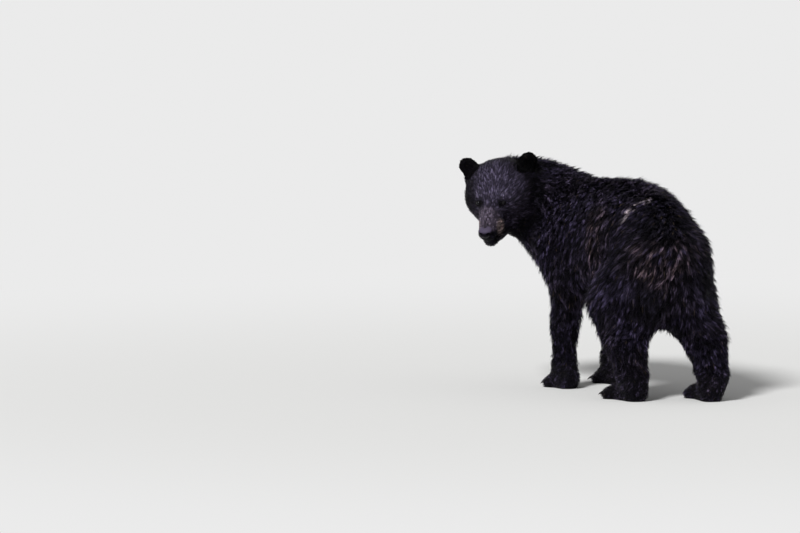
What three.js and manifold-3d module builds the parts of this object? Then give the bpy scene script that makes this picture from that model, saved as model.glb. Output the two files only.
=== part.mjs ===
// A life-size still model of an American black bear. It stands on four feet and looks back over
// its left shoulder. Millimetres; +X runs from rump to chest, +Y to the bear's left, +Z up.
import * as THREE from "three";
import { SimplifyModifier } from "three/addons/modifiers/SimplifyModifier.js";
import { mergeVertices } from "three/addons/utils/BufferGeometryUtils.js";
import Module from "manifold-3d";

// ---- Driving dimensions, to the tips of the coat -------------------------------------------

const WITHERS_HEIGHT = 800; // floor to the top of the shoulders
const BACK_HEIGHT = 834; // floor to the top of the arched loin
const BELLY_HEIGHT = 335; // floor to the underside of the barrel
const TRUNK_HALF_WIDTH = 198;
const HIP_X = -345; // hips and shoulders, measured from mid-trunk
const SHOULDER_X = 250;
const HIND_TRACK = 138; // from the bear's midline to the middle of a hind foot
const FORE_TRACK = 122;
const EYE_SPACING = 98;
const EYE_RADIUS = 11.5;
const EYE_PROUD = 3; // how far the eye stands out of the face's fur
const EYE_POINT = new THREE.Vector3(358, 377, 710); // halfway between the eyes
const FACE_HEADING = 139; // degrees from +X, turned to the left
const FACE_PITCH = 28; // degrees below level
const FACE_ROLL = 2.5;
const GAP = 0.4; // thin parting cut between neighbouring pieces

// How finely each region is meshed, in millimetres a face, and the share of vertices that stays
// after thinning, which takes them from the flattest places first.
const MESH = {
  body: { cell: 26, share: 0.175 },
  leg: { cell: 17, share: 0.18 },
  paw: { cell: 11, share: 0.1 },
  head: { cell: 9.5, share: 0.13 },
  ear: { cell: 7, share: 0.1 },
  nose: { cell: 4, share: 0.17 },
};

// ---- Soft forms: signed distances that blend into each other ---------------------------------

const v3 = (x, y, z) => new THREE.Vector3(x, y, z);
const SIDES = { left: 1, right: -1 };

// Joins two distances, rounding the crease between them over about blend millimetres.
function join(a, b, blend) {
  const h = Math.max(blend - Math.abs(a - b), 0) / blend;
  return Math.min(a, b) - (h * h * blend) / 4;
}

// Cuts the form of distance b out of the form of distance a.
const carve = (a, b, blend) => -join(-a, b, blend);

// An ellipsoid with its three radii along a frame's axes.
function lump(frame, centre, radii) {
  const back = frame.clone().invert();
  const p = v3();
  return (x, y, z) => {
    p.set(x, y, z).applyMatrix4(back).sub(centre);
    const near = Math.hypot(p.x / radii.x, p.y / radii.y, p.z / radii.z);
    const slope = Math.hypot(p.x / radii.x ** 2, p.y / radii.y ** 2, p.z / radii.z ** 2);
    return slope > 1e-9 ? (near * (near - 1)) / slope : -Math.min(radii.x, radii.y, radii.z);
  };
}

// A tapered limb from a to b with round ends, made wide times as broad across the frame's Y.
function limb(frame, a, b, radiusA, radiusB, wide = 1) {
  const back = frame.clone().invert();
  const squeeze = v3(1, 1 / wide, 1);
  const start = a.clone().multiply(squeeze);
  const along = b.clone().multiply(squeeze).sub(start);
  const length2 = along.lengthSq();
  const p = v3();
  return (x, y, z) => {
    p.set(x, y, z).applyMatrix4(back).multiply(squeeze).sub(start);
    const t = THREE.MathUtils.clamp(p.dot(along) / length2, 0, 1);
    return p.addScaledVector(along, -t).length() - (radiusA + t * (radiusB - radiusA));
  };
}

// Several forms grown together.
function grown(forms, blend) {
  return (x, y, z) => forms.reduce((d, form) => join(d, form(x, y, z), blend), 1e6);
}

// A frame at a point, turned by heading, then pitched down and rolled, in degrees.
function frameAt(point, heading = 0, pitch = 0, roll = 0) {
  const turn = new THREE.Euler(
    THREE.MathUtils.degToRad(roll),
    THREE.MathUtils.degToRad(pitch),
    THREE.MathUtils.degToRad(heading),
    "ZYX",
  );
  return new THREE.Matrix4().makeRotationFromEuler(turn).setPosition(point);
}

const WORLD = new THREE.Matrix4();
const HEAD = frameAt(EYE_POINT, FACE_HEADING, FACE_PITCH, FACE_ROLL);

// ---- The bear's forms -------------------------------------------------------------------------

// The trunk bends a little to the left, so each lump has its own heading. Blending lifts the
// surface a little, so the lumps stay RISE inside the heights.
const RISE = 8;

function trunkForm() {
  const middle = (BACK_HEIGHT + BELLY_HEIGHT) / 2;
  const depth = (BACK_HEIGHT - BELLY_HEIGHT) / 2 - RISE;
  const lumps = [
    lump(frameAt(v3(-235, 6, 568), -5), v3(0, 0, 0), v3(285, TRUNK_HALF_WIDTH - 40, 236)),
    lump(frameAt(v3(-65, -8, middle), 0, 3), v3(0, 0, 0), v3(250, TRUNK_HALF_WIDTH - 6, depth)),
    lump(frameAt(v3(110, -4, 575), 6, 2), v3(0, 0, 0), v3(250, TRUNK_HALF_WIDTH - 10, 224)),
    lump(frameAt(v3(SHOULDER_X - 20, 6, 640), 10, 0), v3(0, 0, 0), v3(150, 110, WITHERS_HEIGHT - 650)),
    lump(frameAt(v3(SHOULDER_X + 60, 30, 560), 14, 30), v3(0, 0, 0), v3(165, 145, 170)),
  ];
  for (const side of Object.values(SIDES)) {
    lumps.push(
      lump(frameAt(v3(SHOULDER_X, side * 104 + 10, 545), 8, 0), v3(0, 0, 0), v3(120, 88, 180)),
      lump(frameAt(v3(HIP_X - 20, side * 78, 465), 0, 6), v3(0, 0, 0), v3(124, 88, 172)),
      lump(frameAt(v3(HIP_X + 15, side * 62, 375)), v3(0, 0, 0), v3(112, 68, 128)),
    );
  }
  return grown(lumps, 60);
}

// The neck swings from the shoulders round to the back of the head.
const HEAD_THROAT = v3(-100, 0, -78); // under the angle of the jaw, in the head's frame
const NECK = {
  spine: [v3(260, 10, 625), v3(396, 58, 697), v3(458, 148, 729), v3(462, 232, 751), v3(436, 298, 765)],
  radii: [165, 144, 132, 122, 98],
};

function neckForm() {
  const spine = new THREE.CatmullRomCurve3(NECK.spine);
  const spans = NECK.radii.length - 1;
  const radiusAt = (t) => {
    const i = Math.min(Math.floor(t * spans), spans - 1);
    return THREE.MathUtils.lerp(NECK.radii[i], NECK.radii[i + 1], t * spans - i);
  };
  const steps = 2 * spans;
  const pieces = [];
  for (let i = 0; i < steps; i++) {
    const [t, u] = [i / steps, (i + 1) / steps];
    pieces.push(limb(WORLD, spine.getPoint(t), spine.getPoint(u), radiusAt(t), radiusAt(u)));
  }
  const throat = HEAD_THROAT.clone().applyMatrix4(HEAD);
  pieces.push(limb(WORLD, throat, v3(345, 66, 520), 52, 118));
  return grown(pieces, 30);
}

// Skull, cheeks, brow, muzzle and lower jaw, in the head's own frame, from between the eyes.
function headForm() {
  const forms = [
    lump(HEAD, v3(-108, 0, -4), v3(112, 107, 90)),
    lump(HEAD, v3(-54, 0, 2), v3(66, 68, 46)),
    limb(HEAD, v3(26, 0, -40), v3(112, 0, -52), 48, 31),
    limb(HEAD, v3(4, 0, -99), v3(86, 0, -110), 45, 28, 1.12),
    lump(HEAD, v3(-76, 0, -78), v3(84, 90, 62)),
  ];
  for (const side of Object.values(SIDES)) {
    forms.push(
      lump(HEAD, v3(-94, side * 58, -28), v3(80, 70, 72)),
      lump(HEAD, v3(-34, side * 45, 15), v3(32, 20, 15)),
    );
  }
  return grown(forms, 34);
}

// One round upright ear, dished on the side that faces forwards. Each ear is turned its own way.
const EAR = { height: 104, halfWidth: 41, halfThickness: 18 };
const EARS = {
  left: { foot: v3(-142, 114, 24), turn: 18, lean: 16 },
  right: { foot: v3(-140, -97, 9), turn: 2, lean: 14 },
};

function earFrame(name) {
  const { foot, turn, lean } = EARS[name];
  return HEAD.clone().multiply(frameAt(foot, turn, -14, -SIDES[name] * lean));
}

function earForm(name) {
  const frame = earFrame(name);
  const rise = EAR.height / 2;
  const outer = lump(frame, v3(0, 0, rise), v3(EAR.halfThickness, EAR.halfWidth, rise));
  const dish = lump(frame, v3(24, 0, rise + 4), v3(20, EAR.halfWidth - 14, rise - 14));
  const root = limb(frame, v3(-4, 0, -30), v3(-2, 0, 16), 34, 25, 1.15);
  return (x, y, z) => carve(join(outer(x, y, z), root(x, y, z), 18), dish(x, y, z), 8);
}

// The bare pad at the tip of the muzzle, with its two nostrils.
const NOSE_POINT = v3(133, 0, -38); // in the head's frame
const NOSE_ROOM = 1.5; // how far the muzzle stays clear of the pad

function noseForm() {
  const at = (x, y, z) => NOSE_POINT.clone().add(v3(x, y, z));
  const pad = lump(HEAD, NOSE_POINT, v3(22, 27, 20));
  const lip = lump(HEAD, at(4, 0, -18), v3(12, 10, 12));
  const nostrils = Object.values(SIDES).map((side) =>
    lump(HEAD, at(20, side * 15, -2), v3(10, 8, 7)),
  );
  return (x, y, z) => {
    const whole = join(pad(x, y, z), lip(x, y, z), 10);
    return nostrils.reduce((d, nostril) => carve(d, nostril(x, y, z), 3), whole);
  };
}

// A paw: heel, broad sole and five toes, on the floor, pointing forwards from its middle.
const PAWS = {
  fore: { heel: -38, ball: 28, sole: 46, toeReach: 62, toeRadius: 23, spread: 25, height: 35 },
  hind: { heel: -92, ball: 34, sole: 44, toeReach: 68, toeRadius: 21, spread: 23, height: 33 },
};
const TOES = [-2, -1, 0, 1, 2];

// Where toe number i starts and ends, in the paw's frame.
function toeLine(paw, i) {
  const reach = paw.toeReach - 4.5 * i * i;
  return [v3(paw.ball - 6, i * paw.spread * 0.75, 28), v3(reach, i * paw.spread, 18)];
}

function pawForm(kind, frame) {
  const paw = PAWS[kind];
  const forms = [
    limb(frame, v3(paw.heel, 0, paw.height), v3(paw.ball, 0, 28), paw.sole, paw.sole - 8, 1.15),
  ];
  for (const i of TOES) {
    const [root, tip] = toeLine(paw, i);
    forms.push(limb(frame, root, tip, paw.toeRadius + 2, paw.toeRadius));
  }
  return grown(forms, 12);
}

// Where each leg's joints are. The paws stand at one level and point a little outwards.
function legPlan(kind, side) {
  if (kind === "fore") {
    const x = SHOULDER_X + (side > 0 ? -20 : 40);
    const y = side * FORE_TRACK + 6;
    return {
      joints: [
        v3(SHOULDER_X + 10, side * 106 + 8, 530),
        v3(x - 38, y, 385),
        v3(x - 6, y, 230),
        v3(x - 2, y, 85),
      ],
      radii: [112, 82, 64, 52],
      paw: frameAt(v3(x + 4, y, 0), side * -4 + 3),
    };
  }
  const x = HIP_X + (side > 0 ? 68 : -62);
  const y = side * HIND_TRACK;
  const knee = v3(x + (side > 0 ? 92 : 132), y - side * 6, 366);
  return {
    joints: [v3(HIP_X - 5, side * 78, 560), knee, v3(x - 12, y, 205), v3(x - 62, y, 100)],
    radii: [106, 114, 86, 66],
    paw: frameAt(v3(x + 18, y, 0), side * 8),
  };
}

function legForm(kind, side) {
  const { joints, radii, paw } = legPlan(kind, side);
  const forms = joints
    .slice(1)
    .map((end, i) => limb(WORLD, joints[i], end, radii[i], radii[i + 1]));
  forms.push(pawForm(kind, paw));
  return grown(forms, 26);
}

function tailForm() {
  return limb(WORLD, v3(HIP_X - 135, 14, 620), v3(HIP_X - 172, 18, 540), 36, 24);
}

// The whole animal as one form, without and with its ears. The paws reach a little below the
// floor and are cut level later.
function bodyForm() {
  const parts = [trunkForm(), neckForm(), headForm(), tailForm()];
  for (const side of Object.values(SIDES)) {
    parts.push(legForm("fore", side), legForm("hind", side));
  }
  return grown(parts, 40);
}

function bearForm() {
  const body = bodyForm();
  const ears = Object.keys(SIDES).map(earForm);
  return (x, y, z) => ears.reduce((d, ear) => join(d, ear(x, y, z), 10), body(x, y, z));
}

// ---- From a form to a closed mesh ------------------------------------------------------------

// Meshes the surface where a form's distance is zero inside a box, in faces of about one cell.
// Each cell that the surface crosses holds one vertex, and each crossed grid edge one quad.
function surfaceOf(form, box, cell) {
  const size = box.getSize(v3());
  const counts = size.toArray().map((length) => Math.ceil(length / cell) + 3);
  const [nx, ny, nz] = counts;
  const at = (i, j, k) => (k * ny + j) * nx + i;
  const place = (i, axis) => box.min.getComponent(axis) + (i - 1) * cell;
  const values = new Float32Array(nx * ny * nz);
  for (let k = 0; k < nz; k++)
    for (let j = 0; j < ny; j++)
      for (let i = 0; i < nx; i++) {
        const rim = [i, j, k].some((n, axis) => n === 0 || n === counts[axis] - 1);
        values[at(i, j, k)] = rim ? cell : form(place(i, 0), place(j, 1), place(k, 2));
      }
  const corners = [0, 1, 2, 3, 4, 5, 6, 7].map((n) => [n & 1, (n >> 1) & 1, n >> 2]);
  const vertexOf = new Map();
  const positions = [];
  for (let k = 0; k < nz - 1; k++)
    for (let j = 0; j < ny - 1; j++)
      for (let i = 0; i < nx - 1; i++) {
        const d = corners.map(([a, b, c]) => values[at(i + a, j + b, k + c)]);
        if (d.every((x) => x > 0) || d.every((x) => x <= 0)) continue;
        const sum = v3();
        let crossings = 0;
        for (let m = 0; m < 8; m++)
          for (const bit of [1, 2, 4]) {
            const n = m | bit;
            if (n === m || d[m] > 0 === d[n] > 0) continue;
            const t = d[m] / (d[m] - d[n]);
            sum.add(v3(...corners[m]).lerp(v3(...corners[n]), t));
            crossings += 1;
          }
        sum.divideScalar(crossings);
        vertexOf.set(at(i, j, k), positions.length / 3);
        positions.push(place(i + sum.x, 0), place(j + sum.y, 1), place(k + sum.z, 2));
      }
  const index = [];
  const steps = [v3(1, 0, 0), v3(0, 1, 0), v3(0, 0, 1)].map((s) => s.toArray());
  for (let k = 0; k < nz - 1; k++)
    for (let j = 0; j < ny - 1; j++)
      for (let i = 0; i < nx - 1; i++)
        steps.forEach(([a, b, c], axis) => {
          const here = values[at(i, j, k)] > 0;
          if (here === values[at(i + a, j + b, k + c)] > 0) return;
          const [u, v] = [steps[(axis + 1) % 3], steps[(axis + 2) % 3]];
          const ring = [
            [0, 0],
            [1, 0],
            [1, 1],
            [0, 1],
          ].map(([m, n]) =>
            vertexOf.get(at(i - m * u[0] - n * v[0], j - m * u[1] - n * v[1], k - m * u[2] - n * v[2])),
          );
          if (here) ring.reverse();
          index.push(ring[0], ring[1], ring[2], ring[0], ring[2], ring[3]);
        });
  const geometry = new THREE.BufferGeometry();
  geometry.setAttribute("position", new THREE.Float32BufferAttribute(positions, 3));
  geometry.setIndex(index);
  return geometry;
}

// ---- Solids and the cuts between them ----------------------------------------------------------

const wasm = await Module();
wasm.setup();

function solid(geometry) {
  const bare = new THREE.BufferGeometry();
  bare.setAttribute("position", geometry.getAttribute("position").clone());
  if (geometry.index) bare.setIndex(geometry.index.clone());
  const merged = mergeVertices(bare, 1e-3);
  return new wasm.Manifold(
    new wasm.Mesh({
      numProp: 3,
      vertProperties: merged.getAttribute("position").array,
      triVerts: new Uint32Array(merged.index.array),
    }),
  );
}

function geometryOf(manifold) {
  const mesh = manifold.getMesh();
  const geometry = new THREE.BufferGeometry();
  geometry.setAttribute("position", new THREE.BufferAttribute(mesh.vertProperties, 3));
  geometry.setIndex(new THREE.BufferAttribute(mesh.triVerts, 1));
  return geometry;
}

// Whether no two faces of a mesh run the same way along one edge.
function isSimple(geometry) {
  const index = geometry.index.array;
  const edges = new Set();
  for (let i = 0; i < index.length; i += 3)
    for (let k = 0; k < 3; k++) edges.add(`${index[i + k]} ${index[i + ((k + 1) % 3)]}`);
  return edges.size === index.length;
}

// A closed mesh of a form between two opposite corners. A grid can pinch the mesh where a form
// is thin or creased, and a slightly finer grid then frees it.
async function formSolid(form, low, high, { cell, share }) {
  const box = new THREE.Box3(low, high);
  for (let size = cell; size > cell / 2; size *= 0.98) {
    const fine = mergeVertices(surfaceOf(form, box, size), 1e-3);
    if (!isSimple(fine)) continue;
    const spare = Math.floor(fine.getAttribute("position").count * (1 - share));
    const thinned = await new SimplifyModifier().modify(fine, spare);
    if (isSimple(thinned)) return solid(thinned);
  }
  throw new Error(`no closed mesh with faces of ${cell} mm`);
}

// A block in a frame, from its low to its high corner, grown all round.
function block(frame, low, high, grow = 0) {
  const size = high.clone().sub(low).addScalar(2 * grow);
  const middle = low.clone().add(high).multiplyScalar(0.5);
  const box = new THREE.BoxGeometry(size.x, size.y, size.z).translate(...middle.toArray());
  return solid(box.applyMatrix4(frame));
}

// A cutter that takes a block out of a whole, and what the whole keeps, a thin gap away.
function blockCutter(frame, low, high) {
  return { taken: block(frame, low, high), cleared: block(frame, low, high, GAP) };
}

const take = (whole, ...cutters) => cutters.reduce((piece, c) => piece.intersect(c.taken), whole);
const keep = (whole, ...cutters) => cutters.reduce((piece, c) => piece.subtract(c.cleared), whole);

// How far from start a form's surface lies along a direction, by halving.
function reachOf(form, start, direction, furthest) {
  let [near, far] = [0, furthest];
  while (far - near > 0.05) {
    const middle = (near + far) / 2;
    const p = start.clone().addScaledVector(direction, middle);
    if (form(p.x, p.y, p.z) < 0) near = middle;
    else far = middle;
  }
  return near;
}

// ---- Where the body is parted ------------------------------------------------------------------

const FAR = 900; // beyond the model on every side
const NECK_X = -168; // behind the ears, in the head's frame
const JAW_FLOOR = -178;
const MUZZLE_X = 26; // in front of the eyes
const MOUTH_Z = -80;
const CHEST_X = 60; // between chest and barrel
const LOIN_X = -190; // between barrel and rump
const BREAST_HALF = 40; // half of what the chest fills between the forelegs
const PAW_TOP = 108;
const LEGS = {
  fore: { root: "foreleg", upper: "upper", lower: "forearm", knee: 285, top: 430 },
  hind: { root: "hindleg", upper: "thigh", lower: "shank", knee: 252, top: 450 },
};

const CUTS = {
  head: blockCutter(HEAD, v3(NECK_X, -190, JAW_FLOOR), v3(260, 150, 240)),
  muzzle: blockCutter(HEAD, v3(MUZZLE_X, -90, MOUTH_Z), v3(230, 90, 60)),
  jaw: blockCutter(HEAD, v3(-4, -80, -FAR), v3(230, 80, MOUTH_Z)),
  neck: blockCutter(frameAt(v3(340, 45, 640), 28, -27), v3(0, -FAR, -330), v3(FAR, FAR, FAR)),
  chest: blockCutter(WORLD, v3(CHEST_X, -FAR, 0), v3(FAR, FAR, FAR)),
  rump: blockCutter(WORLD, v3(-FAR, -FAR, 0), v3(LOIN_X, FAR, FAR)),
  tail: blockCutter(frameAt(v3(HIP_X - 152, 16, 575), 0, 14), v3(-90, -32, -72), v3(0, 32, 58)),
};

// The slab of space that one leg stands in, between two heights.
function legCutter(kind, side, bottom, top) {
  const inner = kind === "fore" ? BREAST_HALF : 0;
  const [back, front] = kind === "fore" ? [CHEST_X + 25, 450] : [-FAR, -90];
  const [low, high] = [side * inner, side * 290].sort((a, b) => a - b);
  return blockCutter(WORLD, v3(back, low, bottom), v3(front, high, top));
}

// The ear's own space above the fur of the head, in the ear's frame.
function earCutter(name) {
  const half = EAR.halfWidth + 8;
  return blockCutter(earFrame(name), v3(-46, -half, 22), v3(46, half, EAR.height + 20));
}

// ---- Claws and eyes ----------------------------------------------------------------------------

const CLAWS = {
  fore: { length: 34, radius: 4.6, curl: 48, dip: 2 },
  hind: { length: 26, radius: 4.4, curl: 36, dip: 6 },
};
const CLAW_SPARE = 0.6; // room round a claw in its toe

// A claw that leaves its toe along +X and curls down: a cone bent round an arc.
function clawGeometry({ length, radius, curl }, spare = 0) {
  const bend = THREE.MathUtils.degToRad(curl) / length;
  const geometry = new THREE.ConeGeometry(radius + spare, length, 4, 3);
  geometry.translate(0, length / 2, 0);
  const position = geometry.getAttribute("position");
  for (let i = 0; i < position.count; i++) {
    const along = position.getY(i);
    const out = 1 / bend + position.getX(i) * 1.3;
    const x = out * Math.sin(along * bend) - (along === 0 ? spare : 0);
    position.setXYZ(i, x, position.getZ(i) * 0.8, out * Math.cos(along * bend) - 1 / bend);
  }
  return geometry;
}

// A claw starts a little inside the fur at the tip of its toe.
function clawFrame(kind, pawFrame, i) {
  const paw = PAWS[kind];
  const base = toeLine(paw, i)[1].add(v3(paw.toeRadius - 7, 0, 6));
  return pawFrame.clone().multiply(frameAt(base, i * 4, CLAWS[kind].dip));
}

// An eye lies at the surface of the face, a little sunk.
function eyePlace(side, face) {
  const start = v3(-60, side * (EYE_SPACING / 2 - 16), 0).applyMatrix4(HEAD);
  const outward = v3(1, side * 0.24, 0.04).transformDirection(HEAD);
  const depth = reachOf(face, start, outward, 120) - EYE_RADIUS + EYE_PROUD;
  return start.addScaledVector(outward, depth);
}

// ---- The model -----------------------------------------------------------------------------------

const finish = (color, roughness) => new THREE.MeshStandardMaterial({ color, roughness });
const COAT = finish(0x17151a, 0.8);
const FACE = finish(0x221f26, 0.75);
const PAD = finish(0x141317, 0.45);
const EYE = finish(0x160d08, 0.12);
const CLAW = finish(0x1c1917, 0.4);

const bear = new THREE.Group();

function add(name, geometry, material) {
  const mesh = new THREE.Mesh(geometry, material);
  mesh.name = name;
  bear.add(mesh);
}

const addSolid = (name, manifold, material) => add(name, geometryOf(manifold), material);

// The low and high corners of a cube round a point of the head.
function roundHead(point, reach) {
  const middle = point.clone().applyMatrix4(HEAD);
  return [middle.clone().subScalar(reach), middle.clone().addScalar(reach)];
}

async function addHead(withEars, ears) {
  const whole = await formSolid(withEars, v3(170, 120, 500), v3(650, 550, 970), MESH.head);
  const skull = take(whole, CUTS.head);
  const nose = noseForm();
  const noseBox = roundHead(NOSE_POINT, 44);
  const noseRoom = await formSolid((x, y, z) => nose(x, y, z) - NOSE_ROOM, ...noseBox, MESH.nose);
  addSolid("nose", await formSolid(nose, ...noseBox, MESH.nose), PAD);
  addSolid("muzzle", keep(take(skull, CUTS.muzzle), CUTS.jaw).subtract(noseRoom), FACE);
  addSolid("lower_jaw", take(skull, CUTS.jaw).subtract(noseRoom), FACE);

  const face = bodyForm();
  let cranium = keep(skull, CUTS.muzzle, CUTS.jaw, ...Object.values(ears));
  for (const [name, side] of Object.entries(SIDES)) {
    const place = eyePlace(side, face);
    const eye = new THREE.SphereGeometry(EYE_RADIUS, 10, 7);
    const socket = new THREE.SphereGeometry(EYE_RADIUS + 2 * GAP, 10, 7);
    cranium = cranium.subtract(solid(socket.translate(...place.toArray())));
    add(`eye_${name}`, eye.translate(...place.toArray()), EYE);
    const earBox = roundHead(EARS[name].foot.clone().add(v3(0, 0, 60)), 100);
    const ear = await formSolid(withEars, ...earBox, MESH.ear);
    addSolid(`ear_${name}`, take(ear, ears[name]), COAT);
  }
  addSolid("head", cranium, FACE);
}

async function addTrunk(body, ears) {
  const whole = await formSolid(body, v3(-640, -330, 150), v3(700, 520, 980), MESH.body);
  const legRoots = [];
  for (const [kind, leg] of Object.entries(LEGS)) {
    for (const [name, side] of Object.entries(SIDES)) {
      legRoots.push(legCutter(kind, side, -FAR, leg.top));
      const upper = take(whole, legCutter(kind, side, leg.knee, leg.top));
      addSolid(`${leg.root}_${leg.upper}_${name}`, upper, COAT);
    }
  }
  const bare = keep(whole, CUTS.head, ...Object.values(ears), ...legRoots);
  const trunk = keep(bare, CUTS.neck);
  addSolid("neck", take(bare, CUTS.neck), COAT);
  addSolid("chest", take(trunk, CUTS.chest), COAT);
  addSolid("barrel", keep(trunk, CUTS.chest, CUTS.rump), COAT);
  const rump = take(trunk, CUTS.rump);
  addSolid("rump", keep(rump, CUTS.tail), COAT);
  addSolid("tail", take(rump, CUTS.tail), COAT);
}

async function addLowerLeg(body, kind, name) {
  const leg = LEGS[kind];
  const side = SIDES[name];
  const { paw: pawFrame } = legPlan(kind, side);
  const foot = v3().setFromMatrixPosition(pawFrame);
  const low = foot.clone().add(v3(-210, -150, -50));
  const lower = await formSolid(body, low, foot.clone().add(v3(210, 150, leg.knee + 60)), MESH.leg);
  const shank = take(lower, legCutter(kind, side, PAW_TOP, leg.knee - GAP));
  addSolid(`${leg.root}_${leg.lower}_${name}`, shank, COAT);

  const sole = await formSolid(body, low, foot.clone().add(v3(210, 150, PAW_TOP + 50)), MESH.paw);
  let paw = take(sole, legCutter(kind, side, 0, PAW_TOP - GAP));
  for (const i of TOES) {
    const frame = clawFrame(kind, pawFrame, i);
    paw = paw.subtract(solid(clawGeometry(CLAWS[kind], CLAW_SPARE).applyMatrix4(frame)));
    add(`claw_${kind}_${name}_${i + 3}`, clawGeometry(CLAWS[kind]).applyMatrix4(frame), CLAW);
  }
  addSolid(`${kind}paw_${name}`, paw, COAT);
}

const ears = { left: earCutter("left"), right: earCutter("right") };
await addHead(bearForm(), ears);
await addTrunk(bodyForm(), ears);
for (const kind of Object.keys(LEGS)) {
  for (const name of Object.keys(SIDES)) await addLowerLeg(bodyForm(), kind, name);
}

// The origin is under the middle of the model's box, on the floor.
const box = new THREE.Box3().setFromObject(bear);
const middle = box.getCenter(v3());
bear.position.set(-middle.x, -middle.y, -box.min.z);

export default bear;
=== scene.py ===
# %% [markdown]
# # A black bear that looks back over its shoulder
# A museum builds such a bear as a padded form with a real hide over it. Here the CAD solids are the
# form: they give the bear's outline to the tips of its coat. One skin takes the place of all the flesh
# solids, and the coat grows out of it as many small solid tufts. The eyes, claws and nose pad are pieces
# of their own. Every length is in metres, in the CAD model's frame.

# %% Load the fixed frame
import math

import bmesh
import bpy
import numpy as np
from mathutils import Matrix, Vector, kdtree, noise
from mathutils.bvhtree import BVHTree


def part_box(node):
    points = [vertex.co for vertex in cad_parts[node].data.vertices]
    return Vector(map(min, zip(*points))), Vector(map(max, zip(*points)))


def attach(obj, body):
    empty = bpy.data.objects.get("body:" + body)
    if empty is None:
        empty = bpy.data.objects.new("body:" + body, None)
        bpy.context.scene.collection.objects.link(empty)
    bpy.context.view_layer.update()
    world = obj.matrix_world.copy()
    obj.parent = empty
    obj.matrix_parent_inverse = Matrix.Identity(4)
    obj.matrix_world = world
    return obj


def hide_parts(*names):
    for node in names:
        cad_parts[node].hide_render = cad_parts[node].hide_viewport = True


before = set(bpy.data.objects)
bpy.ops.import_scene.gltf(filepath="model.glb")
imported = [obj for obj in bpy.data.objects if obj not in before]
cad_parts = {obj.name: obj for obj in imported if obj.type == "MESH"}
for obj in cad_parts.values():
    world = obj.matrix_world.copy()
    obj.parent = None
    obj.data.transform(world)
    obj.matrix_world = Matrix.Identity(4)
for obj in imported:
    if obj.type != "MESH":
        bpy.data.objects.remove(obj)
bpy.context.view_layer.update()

# %% [markdown]
# ## Where the head is
# The head is turned and tilted, so the face is easier to shape in axes of its own: x forwards out of the
# forehead, y to the bear's left and z up. They could be typed in as angles, but measured on the CAD model
# they stay right if it changes. The two eyes give the sideways axis, and the nose pad lies a known angle
# below the forward one.

# %% Places and directions
MILLIMETRE = 0.001


def box_of(solid):
    """The lowest and highest corners of a CAD node."""
    low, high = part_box(solid)
    return np.array(low), np.array(high)


def middle(solid):
    """The middle of a CAD node's box."""
    low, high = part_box(solid)
    return np.array((low + high) / 2)


def unit(vectors):
    """Vectors at length 1, one or a list of them."""
    lengths = np.linalg.norm(vectors, axis=-1, keepdims=True)
    return vectors / np.maximum(lengths, 1e-12)


def apart(points, place):
    """How far each point is from a place."""
    return np.linalg.norm(points - place, axis=1)


print("the nose pad is at", middle("nose").round(3).tolist())

# %% The head's own axes
NOSE_DROP = math.radians(18.5)  # from the forward axis down to the nose pad

eyes = {side: middle(f"eye_{side}") for side in ("left", "right")}
face_point = (eyes["left"] + eyes["right"]) / 2
face_left = unit(eyes["left"] - eyes["right"])
to_nose = middle("nose") - face_point
to_nose = unit(to_nose - to_nose.dot(face_left) * face_left)
nose_up = np.cross(to_nose, face_left)
face_forward = math.cos(NOSE_DROP) * to_nose + math.sin(NOSE_DROP) * nose_up
face_up = np.cross(face_forward, face_left)
HEAD_AXES = np.stack([face_forward, face_left, face_up])
print("head axes", HEAD_AXES.round(3).tolist())


def to_head(points):
    """Points in the head's axes, from between the eyes."""
    return (points - face_point) @ HEAD_AXES.T


def from_head(points):
    """Points given in the head's axes, back in the bear's."""
    return np.asarray(points) @ HEAD_AXES + face_point


# %% [markdown]
# ## Meshes as arrays
# Python is slow at moving a hundred thousand vertices one by one. So the places, faces and normals are
# numpy arrays, where one line moves them all. A mesh is made from them only where a Blender tool has to
# work on it, or when a piece is ready.

# %% Objects
def linked(name, data):
    """A new object in the scene."""
    thing = bpy.data.objects.new(name, data)
    bpy.context.scene.collection.objects.link(thing)
    return thing


def new_piece(name, vertices, faces):
    """An object with a new mesh from plain arrays."""
    mesh = bpy.data.meshes.new(name)
    mesh.from_pydata(np.asarray(vertices).tolist(), [], np.asarray(faces).tolist())
    mesh.update()
    return linked(name, mesh)


def drop(piece):
    """Removes an object that was only needed on the way."""
    mesh = piece.data
    bpy.data.objects.remove(piece)
    bpy.data.meshes.remove(mesh)


def poured(maker, mesh):
    """Writes what a bmesh holds to a mesh and lets the bmesh go."""
    maker.to_mesh(mesh)
    maker.free()
    return mesh


print(len(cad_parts), "CAD nodes are loaded")

# %% Arrays out of a mesh
def vertices_of(mesh):
    """A mesh's vertex places as an array."""
    flat = np.empty(len(mesh.vertices) * 3)
    mesh.vertices.foreach_get("co", flat)
    return flat.reshape(-1, 3)


def triangles_of(mesh):
    """A mesh's faces as an array of triangles."""
    mesh.calc_loop_triangles()
    flat = np.empty(len(mesh.loop_triangles) * 3, dtype=np.int32)
    mesh.loop_triangles.foreach_get("vertices", flat)
    return flat.reshape(-1, 3)


def normals_of(places, triangles):
    """A normal for each vertex, weighted by the faces round it."""
    a, b, c = (places[triangles[:, k]] for k in range(3))
    across = np.cross(b - a, c - a)
    total = np.zeros_like(places)
    for k in range(3):
        for axis in range(3):
            total[:, axis] += np.bincount(triangles[:, k], across[:, axis], len(places))
    return unit(total)


print("the head's solid has", len(triangles_of(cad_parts["head"].data)), "triangles")

# %% [markdown]
# ## From solids to one surface
# A real hide has no joints between head, neck and legs. Joining the solids with booleans would keep a
# crease at each joint. So they are copied into one mesh and remeshed together with voxels, which closes
# the thin cuts between them. Each vertex still remembers which solid it came from, so that a muzzle and a
# flank can have different coats.

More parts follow.
